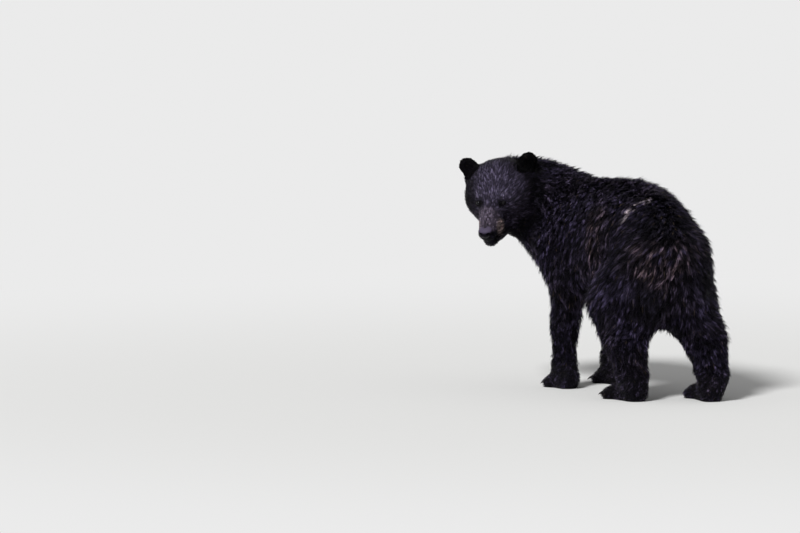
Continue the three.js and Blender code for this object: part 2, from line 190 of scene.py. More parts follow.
# %% Copy and remesh
def copied(name, solids):
    """One new object with the faces of several CAD nodes."""
    maker = bmesh.new()
    for solid in solids:
        maker.from_mesh(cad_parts[solid].data)
    bmesh.ops.remove_doubles(maker, verts=maker.verts, dist=1e-6)
    return linked(name, poured(maker, bpy.data.meshes.new(name)))


def remeshed(piece, voxel):
    """The vertices and triangles of a piece after a voxel remesh. The piece is removed."""
    modifier = piece.modifiers.new("voxels", "REMESH")
    modifier.mode = "VOXEL"
    modifier.voxel_size = voxel
    graph = bpy.context.evaluated_depsgraph_get()
    mesh = bpy.data.meshes.new_from_object(piece.evaluated_get(graph))
    drop(piece)
    result = vertices_of(mesh), triangles_of(mesh)
    bpy.data.meshes.remove(mesh)
    return result


SKIN_VOXEL = 0.0082
SEPARATE = ("claw", "eye", "nose")  # these solids stay pieces of their own
FLESH = [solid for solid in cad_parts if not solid.startswith(SEPARATE)]
WHOLE = [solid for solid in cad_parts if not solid.startswith("claw")]

surface, triangles = remeshed(copied("whole_bear", WHOLE), SKIN_VOXEL)
print(len(FLESH), "flesh nodes;", len(surface), "vertices in their common surface")

# %% Which solid each vertex came from
def owners_of(points, solids):
    """For each point, the index of the nearest CAD solid."""
    corners = []
    faces = []
    owners = []
    for index, solid in enumerate(solids):
        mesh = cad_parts[solid].data
        offset = len(corners)
        corners.extend(vertex.co for vertex in mesh.vertices)
        for polygon in mesh.polygons:
            faces.append([offset + v for v in polygon.vertices])
            owners.append(index)
    tree = BVHTree.FromPolygons(corners, faces)
    return np.array([owners[tree.find_nearest(Vector(p))[2]] for p in points])


labels = owners_of(surface, WHOLE)


def labelled(*starts):
    """Where the vertices of the solids are whose names start with one of these."""
    wanted = [index for index, solid in enumerate(WHOLE) if solid.startswith(starts)]
    return np.isin(labels, wanted)


print(labelled("ear").sum(), "vertices on the ears")

# %% [markdown]
# ## Finer faces where the shape is fine
# Lips, brows and toes need smaller faces than a flank does. A smaller voxel would make the whole skin
# heavy, so only the faces of the head and paws are split, and those of the muzzle once more.

# %% Split the faces of chosen parts
def refined(points, faces, chosen):
    """Splits each face whose corners are all chosen into four, and its neighbours to fit."""
    piece = new_piece("refining", points, faces)
    maker = bmesh.new()
    maker.from_mesh(piece.data)
    maker.verts.ensure_lookup_table()
    edges = [edge for edge in maker.edges if all(chosen[vertex.index] for vertex in edge.verts)]
    bmesh.ops.subdivide_edges(maker, edges=edges, cuts=1, use_grid_fill=True)
    bmesh.ops.triangulate(maker, faces=maker.faces)
    poured(maker, piece.data)
    result = vertices_of(piece.data), triangles_of(piece.data)
    drop(piece)
    return result


MOUTH_SOLIDS = ("muzzle", "lower_jaw", "nose")
FINE_SOLIDS = (*MOUTH_SOLIDS, "head", "eye", "ear", "forepaw", "hindpaw")
for solids in (FINE_SOLIDS, MOUTH_SOLIDS):
    surface, triangles = refined(surface, triangles, labelled(*solids))
    labels = owners_of(surface, WHOLE)
print(len(surface), "vertices and", len(triangles), "triangles after refining")

# %% [markdown]
# ## Smoothing
# The CAD solids have facets, and voxels leave small steps. Moving each vertex towards the average of its
# neighbours takes both out, but it also shrinks thin parts. So the body gets many rounds, the face a few
# and the ears only two.

# %% Averages over a mesh
class Neighbours:
    """Which vertices share an edge, for smoothing values over a mesh."""

    def __init__(self, triangles, count):
        edges = np.concatenate([triangles[:, [0, 1]], triangles[:, [1, 2]], triangles[:, [2, 0]]])
        edges = np.unique(np.concatenate([edges, edges[:, ::-1]]), axis=0)
        first = np.searchsorted(edges[:, 0], np.arange(count))
        rank = np.arange(len(edges)) - first[edges[:, 0]]
        width = int(rank.max()) + 1
        self.table = np.full((count, width), -1, dtype=np.int32)
        self.table[edges[:, 0], rank] = edges[:, 1]
        self.known = self.table >= 0
        self.degree = np.maximum(self.known.sum(1), 1)

    def mean(self, values):
        """Each vertex's average over its neighbours."""
        picked = values[self.table]
        mask = self.known.reshape(self.known.shape + (1,) * (values.ndim - 1))
        degree = self.degree.reshape((-1,) + (1,) * (values.ndim - 1))
        return (picked * mask).sum(1) / degree

    def smooth(self, values, rounds):
        """Values moved to their neighbours' average, round by round."""
        for _ in range(rounds):
            values = self.mean(values)
        return values


mesh_links = Neighbours(triangles, len(surface))
print("a vertex has up to", mesh_links.degree.max(), "neighbours")

# %% Smooth the facets out
EAR_ROUNDS = 2
FACE_ROUNDS = 7
BODY_ROUNDS = 26
BODY_FADE = 6  # rounds that soften the border between face and body
EAR_FADE = 3

face_smooth = mesh_links.smooth(surface, FACE_ROUNDS)
body_smooth = mesh_links.smooth(face_smooth, BODY_ROUNDS)
ear_smooth = mesh_links.smooth(surface, EAR_ROUNDS)
body_share = mesh_links.smooth((~labelled(*FINE_SOLIDS)).astype(float), BODY_FADE)[:, None]
ear_share = mesh_links.smooth(labelled("ear").astype(float), EAR_FADE)[:, None]
off_ears = 1 - ear_share[:, 0]
coat_surface = face_smooth + body_share * (body_smooth - face_smooth)
coat_surface += ear_share * (ear_smooth - coat_surface)
coat_normals = normals_of(coat_surface, triangles)
moved = np.linalg.norm(coat_surface - surface, axis=1).mean() / MILLIMETRE
print("smoothing moved a vertex by", moved.round(1), "mm")

# %% [markdown]
# ## How deep the coat is
# A black bear's fur is a few millimetres long on the muzzle and 50 mm or more on the back. The skin has
# to lie that much inside the outer surface. One row for each solid is enough, because smoothing the
# values over the mesh joins them as a real coat's lengths do.

# %% Coat by body part
# depth, tuft length and tuft width in millimetres, then the way the hair lies: x, y outwards, z.
COAT = {
    "nose": (2.5, 5, 1.0, None),
    "eye": (3, 6, 1.0, None),
    "muzzle": (2.5, 8, 1.1, None),
    "lower_jaw": (4, 11, 1.3, None),
    "head": (6, 15, 1.5, None),
    "ear": (0.5, 8, 1.3, None),
    "neck": (24, 42, 2.1, (-0.45, -0.35, -0.7)),
    "chest": (25, 46, 2.2, (-0.35, 0.15, -0.85)),
    "barrel": (28, 52, 2.3, (-0.2, 0.2, -0.9)),
    "rump": (28, 52, 2.3, (0.0, 0.4, -0.85)),
    "tail": (13, 42, 2.2, (-0.35, 0.0, -1.0)),
    "foreleg_upper": (22, 42, 2.1, (-0.35, 0.0, -1.0)),
    "foreleg_forearm": (13, 28, 1.8, (-0.25, 0.0, -1.0)),
    "forepaw": (5, 13, 1.4, (0.8, 0.0, -0.6)),
    "hindleg_thigh": (27, 52, 2.2, (0.3, 0.35, -1.0)),
    "hindleg_shank": (16, 34, 1.9, (-0.15, 0.1, -1.0)),
    "hindpaw": (5, 14, 1.4, (0.8, 0.0, -0.6)),
}
COAT_ROUNDS = 14  # how far one part's coat fades into the next


def coat_row(solid):
    """The coat's row for a CAD node."""
    return COAT[next(start for start in COAT if solid.startswith(start))]


rows = [coat_row(solid) for solid in WHOLE]
sizes = np.array([row[:3] for row in rows])[labels] * MILLIMETRE
sizes = mesh_links.smooth(sizes, COAT_ROUNDS)
sizes += ear_share * (np.array(COAT["ear"][:3]) * MILLIMETRE - sizes)
depth, tuft_length, tuft_width = measures = sizes.T.copy()
print("a tuft is", (tuft_length.min() / MILLIMETRE).round(1), "mm long or more")

# %% Longer fur on the cheeks and throat
RUFF_BEHIND = (0.05, 0.12)  # behind the eyes: where it starts, and where it is full
RUFF_BELOW = (-0.02, 0.05)  # the same, below the eyes
RUFF_ADDS = (0.012, 0.022, 0.0005)  # to depth, length and width


def ramp(values, low, high):
    """0 below low and 1 above high, with a smooth rise between."""
    t = np.clip((values - low) / (high - low), 0, 1)
    return t * t * (3 - 2 * t)


def bell(distances, reach):
    """1 at no distance, about a third at the reach, and soon 0 beyond it."""
    return np.exp(-((distances / reach) ** 2))


in_head = to_head(coat_surface)
ruff = labelled("head", "lower_jaw").astype(float)
ruff *= ramp(-in_head[:, 0], *RUFF_BEHIND) * ramp(-in_head[:, 2], *RUFF_BELOW)
ruff = mesh_links.smooth(ruff, COAT_ROUNDS)
for measure, added in zip(measures, RUFF_ADDS):
    measure += added * ruff
print("the ruff reaches", (ruff > 0.5).sum(), "vertices")

# %% Short, close fur round ears and eyes, and none under the feet
# depth, length and width of the fur there
CROWN_FUR = (0.0025, 0.0125, 0.0015)
LID_FUR = (0.0030, 0.0065, 0.0011)
CROWN = (-0.115, 0.056, 0.140)  # the top of the head, in the head's axes
CROWN_REACH = 0.070
CROWN_EDGES = (0.055, 0.105)  # from an ear's middle: all short, and no longer short
LID_EDGES = (0.016, 0.040)  # the same from an eye's middle
SOLE_HEIGHT = 0.008
SOLE_FACING = (0.5, 0.85)  # how much a sole's normal points down

crown_top = bell(apart(in_head, CROWN), CROWN_REACH) * off_ears
ear_distance = np.min([apart(coat_surface, middle(f"ear_{side}")) for side in eyes], axis=0)
eye_distance = np.min([apart(coat_surface, place) for place in eyes.values()], axis=0)
crown = (1 - ramp(ear_distance, *CROWN_EDGES)) * off_ears
round_eye = 1 - ramp(eye_distance, *LID_EDGES)
for share, close_fur in ((crown, CROWN_FUR), (round_eye, LID_FUR)):
    for measure, close in zip(measures, close_fur):
        measure += share * (np.minimum(measure, close) - measure)
sole = ramp(-coat_normals[:, 2], *SOLE_FACING)
sole *= ramp(-coat_surface[:, 2], -SOLE_HEIGHT, -SOLE_HEIGHT / 2)
depth *= 1 - sole
print("coat depth", (np.array([depth.min(), depth.max()]) / MILLIMETRE).round(1).tolist(), "mm")

# %% [markdown]
# ## The way the hair lies
# Hair lies away from the nose, back along the spine, down the flanks and legs, and forwards over the
# toes. Combing it by hand would take days. A direction for each solid, smoothed over the mesh and kept
# along the surface, gives the same flow, with whorls where two directions meet. Soft noise then turns it
# a little, so that the coat isn't combed.

# %% One direction for each part, smoothed into the next
FLANK_TURN = 0.06  # from the spine to where the hair lies fully outwards
SPINE_FACING = (0.65, 0.95)  # how much the normal of the back points up
SPINE_PULL = 0.8  # how strongly the hair there lies towards the tail
LIE_ROUNDS = 40
LIE_KEPT = 0.5  # each direction's own share against its neighbours'
NOSE_TIP = (0.16, 0, -0.06)  # in the head's axes


def along_surface(vectors, normals):
    """Vectors laid flat on the surface, at length 1."""
    return unit(vectors - (vectors * normals).sum(1, keepdims=True) * normals)


outwards = np.clip((coat_surface[:, 1] - middle("chest")[1]) / FLANK_TURN, -1, 1)
along_spine = ramp(coat_normals[:, 2], *SPINE_FACING)
lie = np.zeros_like(coat_surface)
for index, (solid, row) in enumerate(zip(WHOLE, rows)):
    here = labels == index
    if row[3] is None:
        start = middle("head") if solid.startswith("ear") else from_head(NOSE_TIP)
        lie[here] = unit(coat_surface[here] - start)
        continue
    lie[here] = row[3]
    if solid != "neck":
        lie[here, 1] *= outwards[here]
        lie[here, 0] -= SPINE_PULL * along_spine[here]
lie = along_surface(lie, coat_normals)
for _ in range(LIE_ROUNDS):
    lie = along_surface(mesh_links.mean(lie) + LIE_KEPT * lie, coat_normals)
print("mean direction of the hair", lie.mean(0).round(2).tolist())

# %% Swirls
# the noise's seed, waves in a metre, and how far they turn the hair, in radians
WAVES = ((3, 7.0, 0.30), (4, 19.0, 0.24))
LONG_FUR = 0.06  # fur this long turns by that much, and shorter fur by less


def wave(points, scale, seed):
    """Smooth noise from -1 to 1 at each point."""
    shift = Vector((seed, seed * 1.7, -seed))
    return np.array([noise.noise(Vector(p) * scale + shift) for p in points]) * 2


def turned(vectors, normals, angles):
    """Vectors turned about the normals."""
    across = np.cross(normals, vectors)
    return np.cos(angles)[:, None] * vectors + np.sin(angles)[:, None] * across


for seed, scale, turn in WAVES:
    lie = turned(lie, coat_normals, turn * wave(coat_surface, scale, seed) * (tuft_length / LONG_FUR))
print("hair lies along the surface to", np.abs((lie * coat_normals).sum(1)).max().round(4))

# %% [markdown]
# ## The skin itself
# The skin is the outer surface moved inwards by the coat's depth. A real coat is fuller in places than
# that, so the skin is lifted again where the outline needs it: between the ears, on the nape and along
# the back. The ears are thin, so they keep their own surface.

# %% Move the surface inwards
SKIN_ROUNDS = 2
NORMAL_ROUNDS = 4

outward = unit(mesh_links.smooth(coat_normals, NORMAL_ROUNDS))
skin_places = coat_surface - depth[:, None] * outward
skin_places = mesh_links.smooth(skin_places, SKIN_ROUNDS)
skin_places += ear_share * (ear_smooth - skin_places)
print("the skin starts", skin_places[:, 2].min().round(4), "m above the floor")

# %% Fuller places
CROWN_RISE = 0.025  # the cushion of short fur between the ears


def spot(solid, x, y, z):
    """A place given as shares of a CAD node's box."""
    low, high = box_of(solid)
    return low + (high - low) * (x, y, z)


FULLER = (  # place, reach, lift
    (spot("neck", 0.49, 0.49, 0.99), 0.055, 0.010),
    (spot("chest", 0.15, 0.59, 0.98), 0.100, 0.015),
    (spot("barrel", 0.66, 0.60, 0.97), 0.110, 0.007),
    (from_head([-0.015, 0.040, -0.140]), 0.045, 0.010),
)


def raised(heights):
    """Moves the skin outwards by a height for each vertex."""
    return skin_places + heights[:, None] * outward


skin_places = raised(CROWN_RISE * crown_top)
for place, reach, lift in FULLER:
    skin_places = raised(lift * (bell(apart(coat_surface, place), reach) * off_ears))
print("fuller in", len(FULLER) + 1, "places")

# %% The ears' waists
EAR_WAIST = 0.80  # the ear is a little narrower where it leaves the head
EAR_WAIST_HEIGHTS = (0.20, 0.60)  # shares of its height: narrowest below, full width above
EAR_REACH = 0.08

for name in ("ear_left", "ear_right"):
    low, high = box_of(name)
    centre = (low + high) / 2
    height = np.clip((skin_places[:, 2] - low[2]) / (high[2] - low[2]), 0, 1)
    narrow = (1 - EAR_WAIST) * (1 - ramp(height, *EAR_WAIST_HEIGHTS)) * ear_share[:, 0]
    narrow *= apart(skin_places, centre) < EAR_REACH
    skin_places[:, :2] += narrow[:, None] * (centre - skin_places)[:, :2]
    print(name, "narrowed at", (narrow > 0).sum(), "vertices")

# %% [markdown]
# ## The face's own forms
# The solids give the head's masses but not its small forms. They could be sculpted, but a script
# can't repeat a sculptor's strokes. So each form is a soft bump or a groove at a place given in the
# head's axes: a seat for the nose pad, two brows, the lips' bulges and the line of the mouth.

# %% Room for the nose pad, and brows over the eyes
NOSE_HALF = np.array([0.0215, 0.0265, 0.0180])  # half the pad's length, width and height
NOSE_SQUARE = 0.88  # 1 is an ellipsoid and 0 a box
NOSE_SHIFT = (0.001, 0, -0.003)  # from the middle of the CAD solid
PAD_EDGES = (1.0, 1.55)  # the seat under the pad, in pad sizes
PAD_SINK = 0.6
BROW = (-0.002, 0.047, 0.019)
BROW_REACH = 0.012
BROW_RISE = 0.0035

nose_middle = to_head(middle("nose")) + NOSE_SHIFT
pad_reach = (np.abs((in_head - nose_middle) / NOSE_HALF) ** (2 / NOSE_SQUARE)).sum(1) ** (NOSE_SQUARE / 2)
under_pad = 1 - ramp(pad_reach, *PAD_EDGES)
skin_places -= PAD_SINK * under_pad[:, None] * (skin_places - from_head(nose_middle))
for side in (1, -1):
    brow_place = from_head(np.array(BROW) * (1, side, 1))
    skin_places = raised(BROW_RISE * bell(apart(skin_places, brow_place), BROW_REACH))
print((under_pad > 0.5).sum(), "vertices under the nose pad")

# %% The lips' bulges
LIP_WIDER = 0.009
LIP_FORWARD = 0.008
LIP_START = (0.085, 0.115)  # how far forwards the upper lip begins and is full
LIP_HEIGHT = -0.080
LIP_REACH = 0.024
FLEWS = {1: 0.011, -1: 0.004}  # the lips' side bulges, fuller on the side that chews
FLEW = (0.062, 0.038, -0.076)
FLEW_REACH = 0.024
FLEW_STRETCH = (1.4, 1, 1)
JOWL = (0.030, 0.030, -0.125)
JOWL_REACH = 0.034
JOWL_SHARE = 0.6

lip_front = ramp(in_head[:, 0], *LIP_START) * bell(in_head[:, 2] - LIP_HEIGHT, LIP_REACH)
lip_front *= labelled(*MOUTH_SOLIDS)
sideways = np.clip(in_head[:, 1] / LIP_REACH, -1, 1)
skin_places += (LIP_WIDER * lip_front * sideways)[:, None] * face_left
skin_places += (LIP_FORWARD * lip_front * (1 - under_pad))[:, None] * face_forward
for side, fullness in FLEWS.items():
    mirror = (1, side, 1)
    flew = bell(np.linalg.norm((in_head - np.array(FLEW) * mirror) / FLEW_STRETCH, axis=1), FLEW_REACH)
    skin_places += (fullness * side * flew)[:, None] * face_left
    jowl = bell(apart(in_head, np.array(JOWL) * mirror), JOWL_REACH)
    skin_places = raised(JOWL_SHARE * fullness * jowl)
print("the upper lip covers", (lip_front > 0.5).sum(), "vertices")

# %% The line of the mouth
MOUTH_GAP = 0.0024  # half of the groove between the lips
MOUTH_DEPTH = 0.008
MOUTH_START = (0.004, 0.02)  # the corner of the mouth
MOUTH_WAVE = 0.004  # the line rises and falls by this much
MOUTH_LENGTH = 0.11
LIP_FULLNESS = 0.0014
LIP_OFFSET = 0.006  # from the line to the middle of a lip's roll
LIP_ROLL = 0.0035

mouth_line = LIP_HEIGHT + MOUTH_WAVE * np.cos(2 * math.pi * in_head[:, 0] / MOUTH_LENGTH)
from_line = in_head[:, 2] - mouth_line
in_mouth = labelled(*MOUTH_SOLIDS) * ramp(in_head[:, 0], *MOUTH_START)
groove = in_mouth * bell(from_line, MOUTH_GAP)
lips = in_mouth * bell(np.abs(from_line) - LIP_OFFSET, LIP_ROLL)
skin_places = raised(LIP_FULLNESS * lips - MOUTH_DEPTH * groove)
print("the mouth's groove has", (groove > 0.3).sum(), "vertices")

# %% Flat soles
skin_places[:, 2] = np.maximum(skin_places[:, 2], 0)
skin_places[sole > 0.5, 2] = 0
skin_normals = normals_of(skin_places, triangles)
print((sole > 0.5).sum(), "vertices of the soles on the floor")

# %% [markdown]
# ## Camera
# The camera stands far off with a long lens, behind the bear's left hip and a little above the floor. A
# long lens makes near and far parts almost the same scale, so the head that looks back is as large as
# the rump. The bear stands to the right of the middle, which leaves room in front of its gaze.

# %% Camera
VIEW_TURN = math.radians(27.0)  # from the bear's own axis, to its right
VIEW_DROP = math.radians(5.0)
FRAME_SPAN = 3.0534  # metres across the frame at the bear
LENS = 400.0
FARTHEST = 300
AIM_RIGHT = -0.738  # from the middle of the bear's footprint to the middle of the frame
AIM_UP = 0.479

view_right = Vector((-math.sin(VIEW_TURN), -math.cos(VIEW_TURN), 0))
view_ahead = Vector((math.cos(VIEW_TURN), -math.sin(VIEW_TURN), 0)) * math.cos(VIEW_DROP)
view_ahead.z = -math.sin(VIEW_DROP)
view_up = view_right.cross(view_ahead)
camera = linked("camera", bpy.data.cameras.new("camera"))
camera.data.lens = LENS
camera.data.clip_end = FARTHEST
distance = LENS / camera.data.sensor_width * FRAME_SPAN
camera.location = AIM_RIGHT * view_right + AIM_UP * view_up - distance * view_ahead
camera.rotation_euler = view_ahead.to_track_quat("-Z", "Y").to_euler()
bpy.context.scene.camera = camera
bpy.context.scene.view_settings.view_transform = "Standard"
print("camera", round(distance, 2), "m away,", round(camera.location.z, 2), "m up")

# %% [markdown]
# ## Shader helpers
# Each material is a small tree of nodes. They can be joined by hand in the shader editor, but then the
# same few clicks come back in every material. One short function adds a node, sets its values and joins
# its inputs, which keeps a material's cell readable.

# %% Nodes and materials
def node(tree, kind, settings=None, **inputs):
    """Adds a node. Settings are its own options. An input is a number, a colour or another socket."""
    made = tree.nodes.new(kind)
    for name, value in (settings or {}).items():
        setattr(made, name, value)
    for name, value in inputs.items():
        key = int(name[1:]) if name[0] == "_" else name.replace("_", " ")
        if isinstance(value, bpy.types.NodeSocket):
            tree.links.new(value, made.inputs[key])
        else:
            made.inputs[key].default_value = value
    return made


def new_material(name):
    """An empty node material and its tree."""
    material = bpy.data.materials.new(name)
    material.use_nodes = True
    material.node_tree.nodes.clear()
    return material, material.node_tree


def surfaced(tree, shader):
    """Sends a shader to the material's output."""
    node(tree, "ShaderNodeOutputMaterial", Surface=shader.outputs[0])


def maths(tree, operation, first, second):
    """One step of arithmetic on two values, kept between 0 and 1."""
    made = node(tree, "ShaderNodeMath", {"operation": operation, "use_clamp": True}, _0=first, _1=second)
    return made.outputs[0]


print("shader helpers are ready")

# %% [markdown]
# ## Floor and light
# A studio uses a pale sweep of paper, with no line where the floor ends. Here the floor is matt near the
# bear, so it keeps the shadow, and turns into the backdrop's own tone farther off. Light Path tells a ray
# that only looks at the background from one that lights the bear, so the pale backdrop adds no light.

# %% Rays that only see the background
PALE = (0.90, 0.90, 0.89, 1)
BACKDROP = 0.83


def looking_past(tree):
    """1 for the camera's rays, reflections and rays through glass, and 0 for the others."""
    path = node(tree, "ShaderNodeLightPath")
    either = maths(tree, "MAXIMUM", path.outputs["Is Camera Ray"], path.outputs["Is Glossy Ray"])
    return maths(tree, "MAXIMUM", either, path.outputs["Is Transmission Ray"])


print("backdrop tone", BACKDROP)

# %% Floor
FLOOR_SIZE = 60.0
FADE_FROM = 1.3  # metres from the bear where the floor starts to turn into the backdrop
FADE_TO = 5.0

floor_piece = new_piece(
    "floor",
    [(x * FLOOR_SIZE, y * FLOOR_SIZE, 0) for x, y in ((-1, -1), (1, -1), (1, 1), (-1, 1))],
    [(0, 1, 2, 3)],
)
material, tree = new_material("pale_floor")
where = node(tree, "ShaderNodeTexCoord")
far = node(tree, "ShaderNodeVectorMath", {"operation": "LENGTH"}, _0=where.outputs["Object"])
fade = node(tree, "ShaderNodeMapRange", {"interpolation_type": "SMOOTHSTEP"}, Value=far.outputs["Value"],
            From_Min=FADE_FROM, From_Max=FADE_TO)
matt = node(tree, "ShaderNodeBsdfDiffuse", Color=PALE)
plain = node(tree, "ShaderNodeEmission", Color=(BACKDROP, BACKDROP, BACKDROP, 1), Strength=1.0)
part_shown = maths(tree, "MULTIPLY", looking_past(tree), fade.outputs["Result"])
surfaced(tree, node(tree, "ShaderNodeMixShader", Fac=part_shown, _1=matt.outputs[0], _2=plain.outputs[0]))
floor_piece.data.materials.append(material)
print("floor", 2 * FLOOR_SIZE, "m across")

# %% Light
WORLD_LIGHT = 0.30
KEY_STRENGTH = 2.6
KEY_SIZE = math.radians(14)  # a large lamp, seen from the bear: soft edges on the shadow
KEY_FROM = (-0.42, 0.62, 0.66)

key = bpy.data.lights.new("key_light", "SUN")
key.energy = KEY_STRENGTH
key.angle = KEY_SIZE
linked("key_light", key).rotation_euler = (-Vector(KEY_FROM)).to_track_quat("-Z", "Y").to_euler()
world = bpy.data.worlds.new("studio")
bpy.context.scene.world = world
world.use_nodes = True
world.node_tree.nodes.clear()
tree = world.node_tree
only_seen = looking_past(tree)
seen = node(tree, "ShaderNodeMix", {"data_type": "FLOAT"}, _0=only_seen, _2=WORLD_LIGHT, _3=BACKDROP)
light = node(tree, "ShaderNodeBackground", Color=(1, 1, 1, 1), Strength=seen.outputs[0])
node(tree, "ShaderNodeOutputWorld", Surface=light.outputs[0])
print("one sun of", KEY_STRENGTH, "and a world of", WORLD_LIGHT)

# %% [markdown]
# ## Unwrapping the skin
# Colours can be baked onto a flat map of each piece. A tuft takes a tiny patch of that map at its own
# root, so neighbours on the body are neighbours on the map. One map for the whole bear would leave little
# room for each tuft, so each coat piece has its own part of the skin unwrapped to fill a map.

# %% Unwrap by the skin's own shape
BAKE_MAP = "OFBake"
UNWRAP_ANGLE = math.radians(62)
UNWRAP_MARGIN = 0.003


def unwrapped(points, faces):
    """The place of each corner of each triangle on an unwrap of this mesh."""
    piece = new_piece("unwrapping", points, faces)
    piece.data.uv_layers.new(name=BAKE_MAP)
    bpy.context.view_layer.objects.active = piece
    piece.select_set(True)
    bpy.ops.object.mode_set(mode="EDIT")
    bpy.ops.mesh.select_all(action="SELECT")
    bpy.ops.uv.smart_project(angle_limit=UNWRAP_ANGLE, island_margin=UNWRAP_MARGIN)
    bpy.ops.object.mode_set(mode="OBJECT")
    flat = np.empty(len(piece.data.loops) * 2)
    piece.data.uv_layers[BAKE_MAP].uv.foreach_get("vector", flat)
    drop(piece)
    return flat.reshape(-1, 3, 2)


def set_map(mesh, corners):
    """Gives a mesh its bake map, one place for each face corner."""
    layer = mesh.uv_layers.new(name=BAKE_MAP)
    layer.uv.foreach_set("vector", np.ascontiguousarray(corners, dtype=np.float32).ravel())


def set_value(mesh, name, values):
    """Gives a mesh a number, or a vector, at each vertex, for its material to read."""
    vector = np.ndim(values) == 2
    layer = mesh.attributes.new(name, "FLOAT_VECTOR" if vector else "FLOAT", "POINT")
    layer.data.foreach_set("vector" if vector else "value", np.asarray(values, dtype=np.float32).ravel())


print("pieces are unwrapped to the map", BAKE_MAP)

# %% [markdown]
# ## One tuft
# Blender's hair curves would look finer, but they aren't a mesh, and the part has to be one. So a tuft is
# a thin closed solid. The shortest is a spike of 4 triangles. Underfur is a spindle that bends once: a
# point inside the skin, a triangular ring and a tip, 6 triangles in all. Long guard hair has two rings
# and bends twice. Tufts in one lock share a direction and lean to a common tip, as real ones do.

# %% The pattern that all the tufts of a batch share
RING_CORNERS = ((-0.5, -0.12), (0.5, -0.12), (0.0, 0.34))  # across the tuft and above it, in widths
TOP_RING = 0.72  # the second ring's size, as a share of the first


def tuft_pattern(first, rings, tip):
    """A tuft's triangles, as numbers of its corners. first is 1 where it starts in a point."""
    pattern = [] if first else [(2, 1, 0)]
    for k in range(3 if first else 0):
        pattern.append((0, 1 + (k + 1) % 3, 1 + k))
    for ring in range(rings - 1):
        low = first + 3 * ring
        for k in range(3):
            a, b = low + k, low + (k + 1) % 3
            pattern += [(a, b, b + 3), (a, b + 3, a + 3)]
    last = first + 3 * (rings - 1)
    for k in range(3):
        pattern.append((last + k, last + (k + 1) % 3, tip))
    return np.array(pattern)


print("a spike has", len(tuft_pattern(0, 1, 3)), "triangles, a guard hair", len(tuft_pattern(1, 2, 7)))

# %% Mesh of many tufts at once
PATCH = 0.003  # across a tuft's place on the bake map
FLOOR_GAP = 0.0015  # no hair reaches lower


def tuft_mesh(stations, across, up, widths, spots):
    """Closed tufts as arrays. stations are each tuft's points from root to tip."""
    count, steps = stations.shape[:2]
    first = 1 if steps > 2 else 0
    rings = steps - 1 - first
    corners = [stations[:, 0]] if first else []
    for ring in range(rings):
        scale = (widths * (1.0 if ring == 0 else TOP_RING))[:, None]
        for side, rise in RING_CORNERS:
            corners.append(stations[:, first + ring] + scale * (side * across + rise * up))
    corners.append(stations[:, -1])
    points = np.stack(corners, axis=1).reshape(-1, 3)
    points[:, 2] = np.maximum(points[:, 2], FLOOR_GAP)
    pattern = tuft_pattern(first, rings, len(corners) - 1)
    faces = (np.arange(count)[:, None, None] * len(corners) + pattern).reshape(-1, 3)
    shares = [ring / (steps - 1) for ring in range(first, first + rings) for _ in range(3)]
    along = np.array([0.0] * first + shares + [1.0])
    sides = [side for _ in range(rings) for side, _ in RING_CORNERS]
    sideways = np.array([0.0] * first + sides + [0.0])
    patch = PATCH * np.stack([sideways, along - 0.5], axis=1)
    places = (spots[:, None, :] + patch).reshape(-1, 2)
    return points, faces, places[faces], np.tile(along, count)


print("each tuft takes", PATCH, "of the map")

# %% One piece from several batches
def joined_piece(name, parts):
    """One piece from batches of tufts, with the values that its material reads."""
    points = np.concatenate([part["points"] for part in parts])
    starts = np.cumsum([0] + [len(part["points"]) for part in parts[:-1]])
    faces = np.concatenate([part["faces"] + start for part, start in zip(parts, starts)])
    mesh = bpy.data.meshes.new(name)
    mesh.vertices.add(len(points))
    mesh.vertices.foreach_set("co", points.astype(np.float32).ravel())
    mesh.loops.add(faces.size)
    mesh.loops.foreach_set("vertex_index", faces.astype(np.int32).ravel())
    mesh.polygons.add(len(faces))
    mesh.polygons.foreach_set("loop_start", np.arange(0, faces.size, 3, dtype=np.int32))
    mesh.update(calc_edges=True)
    mesh.shade_smooth()
    for value in ("root", "along", "strand", "lock"):
        set_value(mesh, value, np.concatenate([part[value] for part in parts]))
    set_map(mesh, np.concatenate([part["map"] for part in parts]))
    return linked(name, mesh)


print("tufts carry their root's place, their length's share, and a number each and for their lock")

# %% [markdown]
# ## Growing the coat
# A particle system would scatter the hairs, but its result is hard to repeat. Here roots are scattered
# with seeded random numbers, evenly over the skin of each coat piece. Each takes its direction, length
# and width from the skin under it, and then joins the nearest lock.

# %% Scattering roots
def scattered(rng, part_faces, count, weight):
    """Random places on the skin: their faces and the share of each corner."""
    a, b, c = (skin_places[part_faces[:, k]] for k in range(3))
    area = np.linalg.norm(np.cross(b - a, c - a), axis=1) * weight[part_faces].mean(1)
    chosen = np.searchsorted(np.cumsum(area) / area.sum(), rng.random(count))
    chosen = np.minimum(chosen, len(part_faces) - 1)
    first, second = rng.random((2, count))
    fold = first + second > 1
    first[fold], second[fold] = 1 - first[fold], 1 - second[fold]
    return chosen, np.stack([1 - first - second, first, second], axis=1)


def at_roots(values, part_faces, chosen, shares):
    """A value of the skin's vertices at the scattered places."""
    corners = values[part_faces[chosen]]
    return (corners * shares.reshape(shares.shape + (1,) * (corners.ndim - 2))).sum(1)


print("roots are scattered by area over", len(triangles), "triangles")

# %% Locks
LOCK_LENGTHS = (0.82, 0.36)  # the shortest lock's share of the length, and how much a long one has more


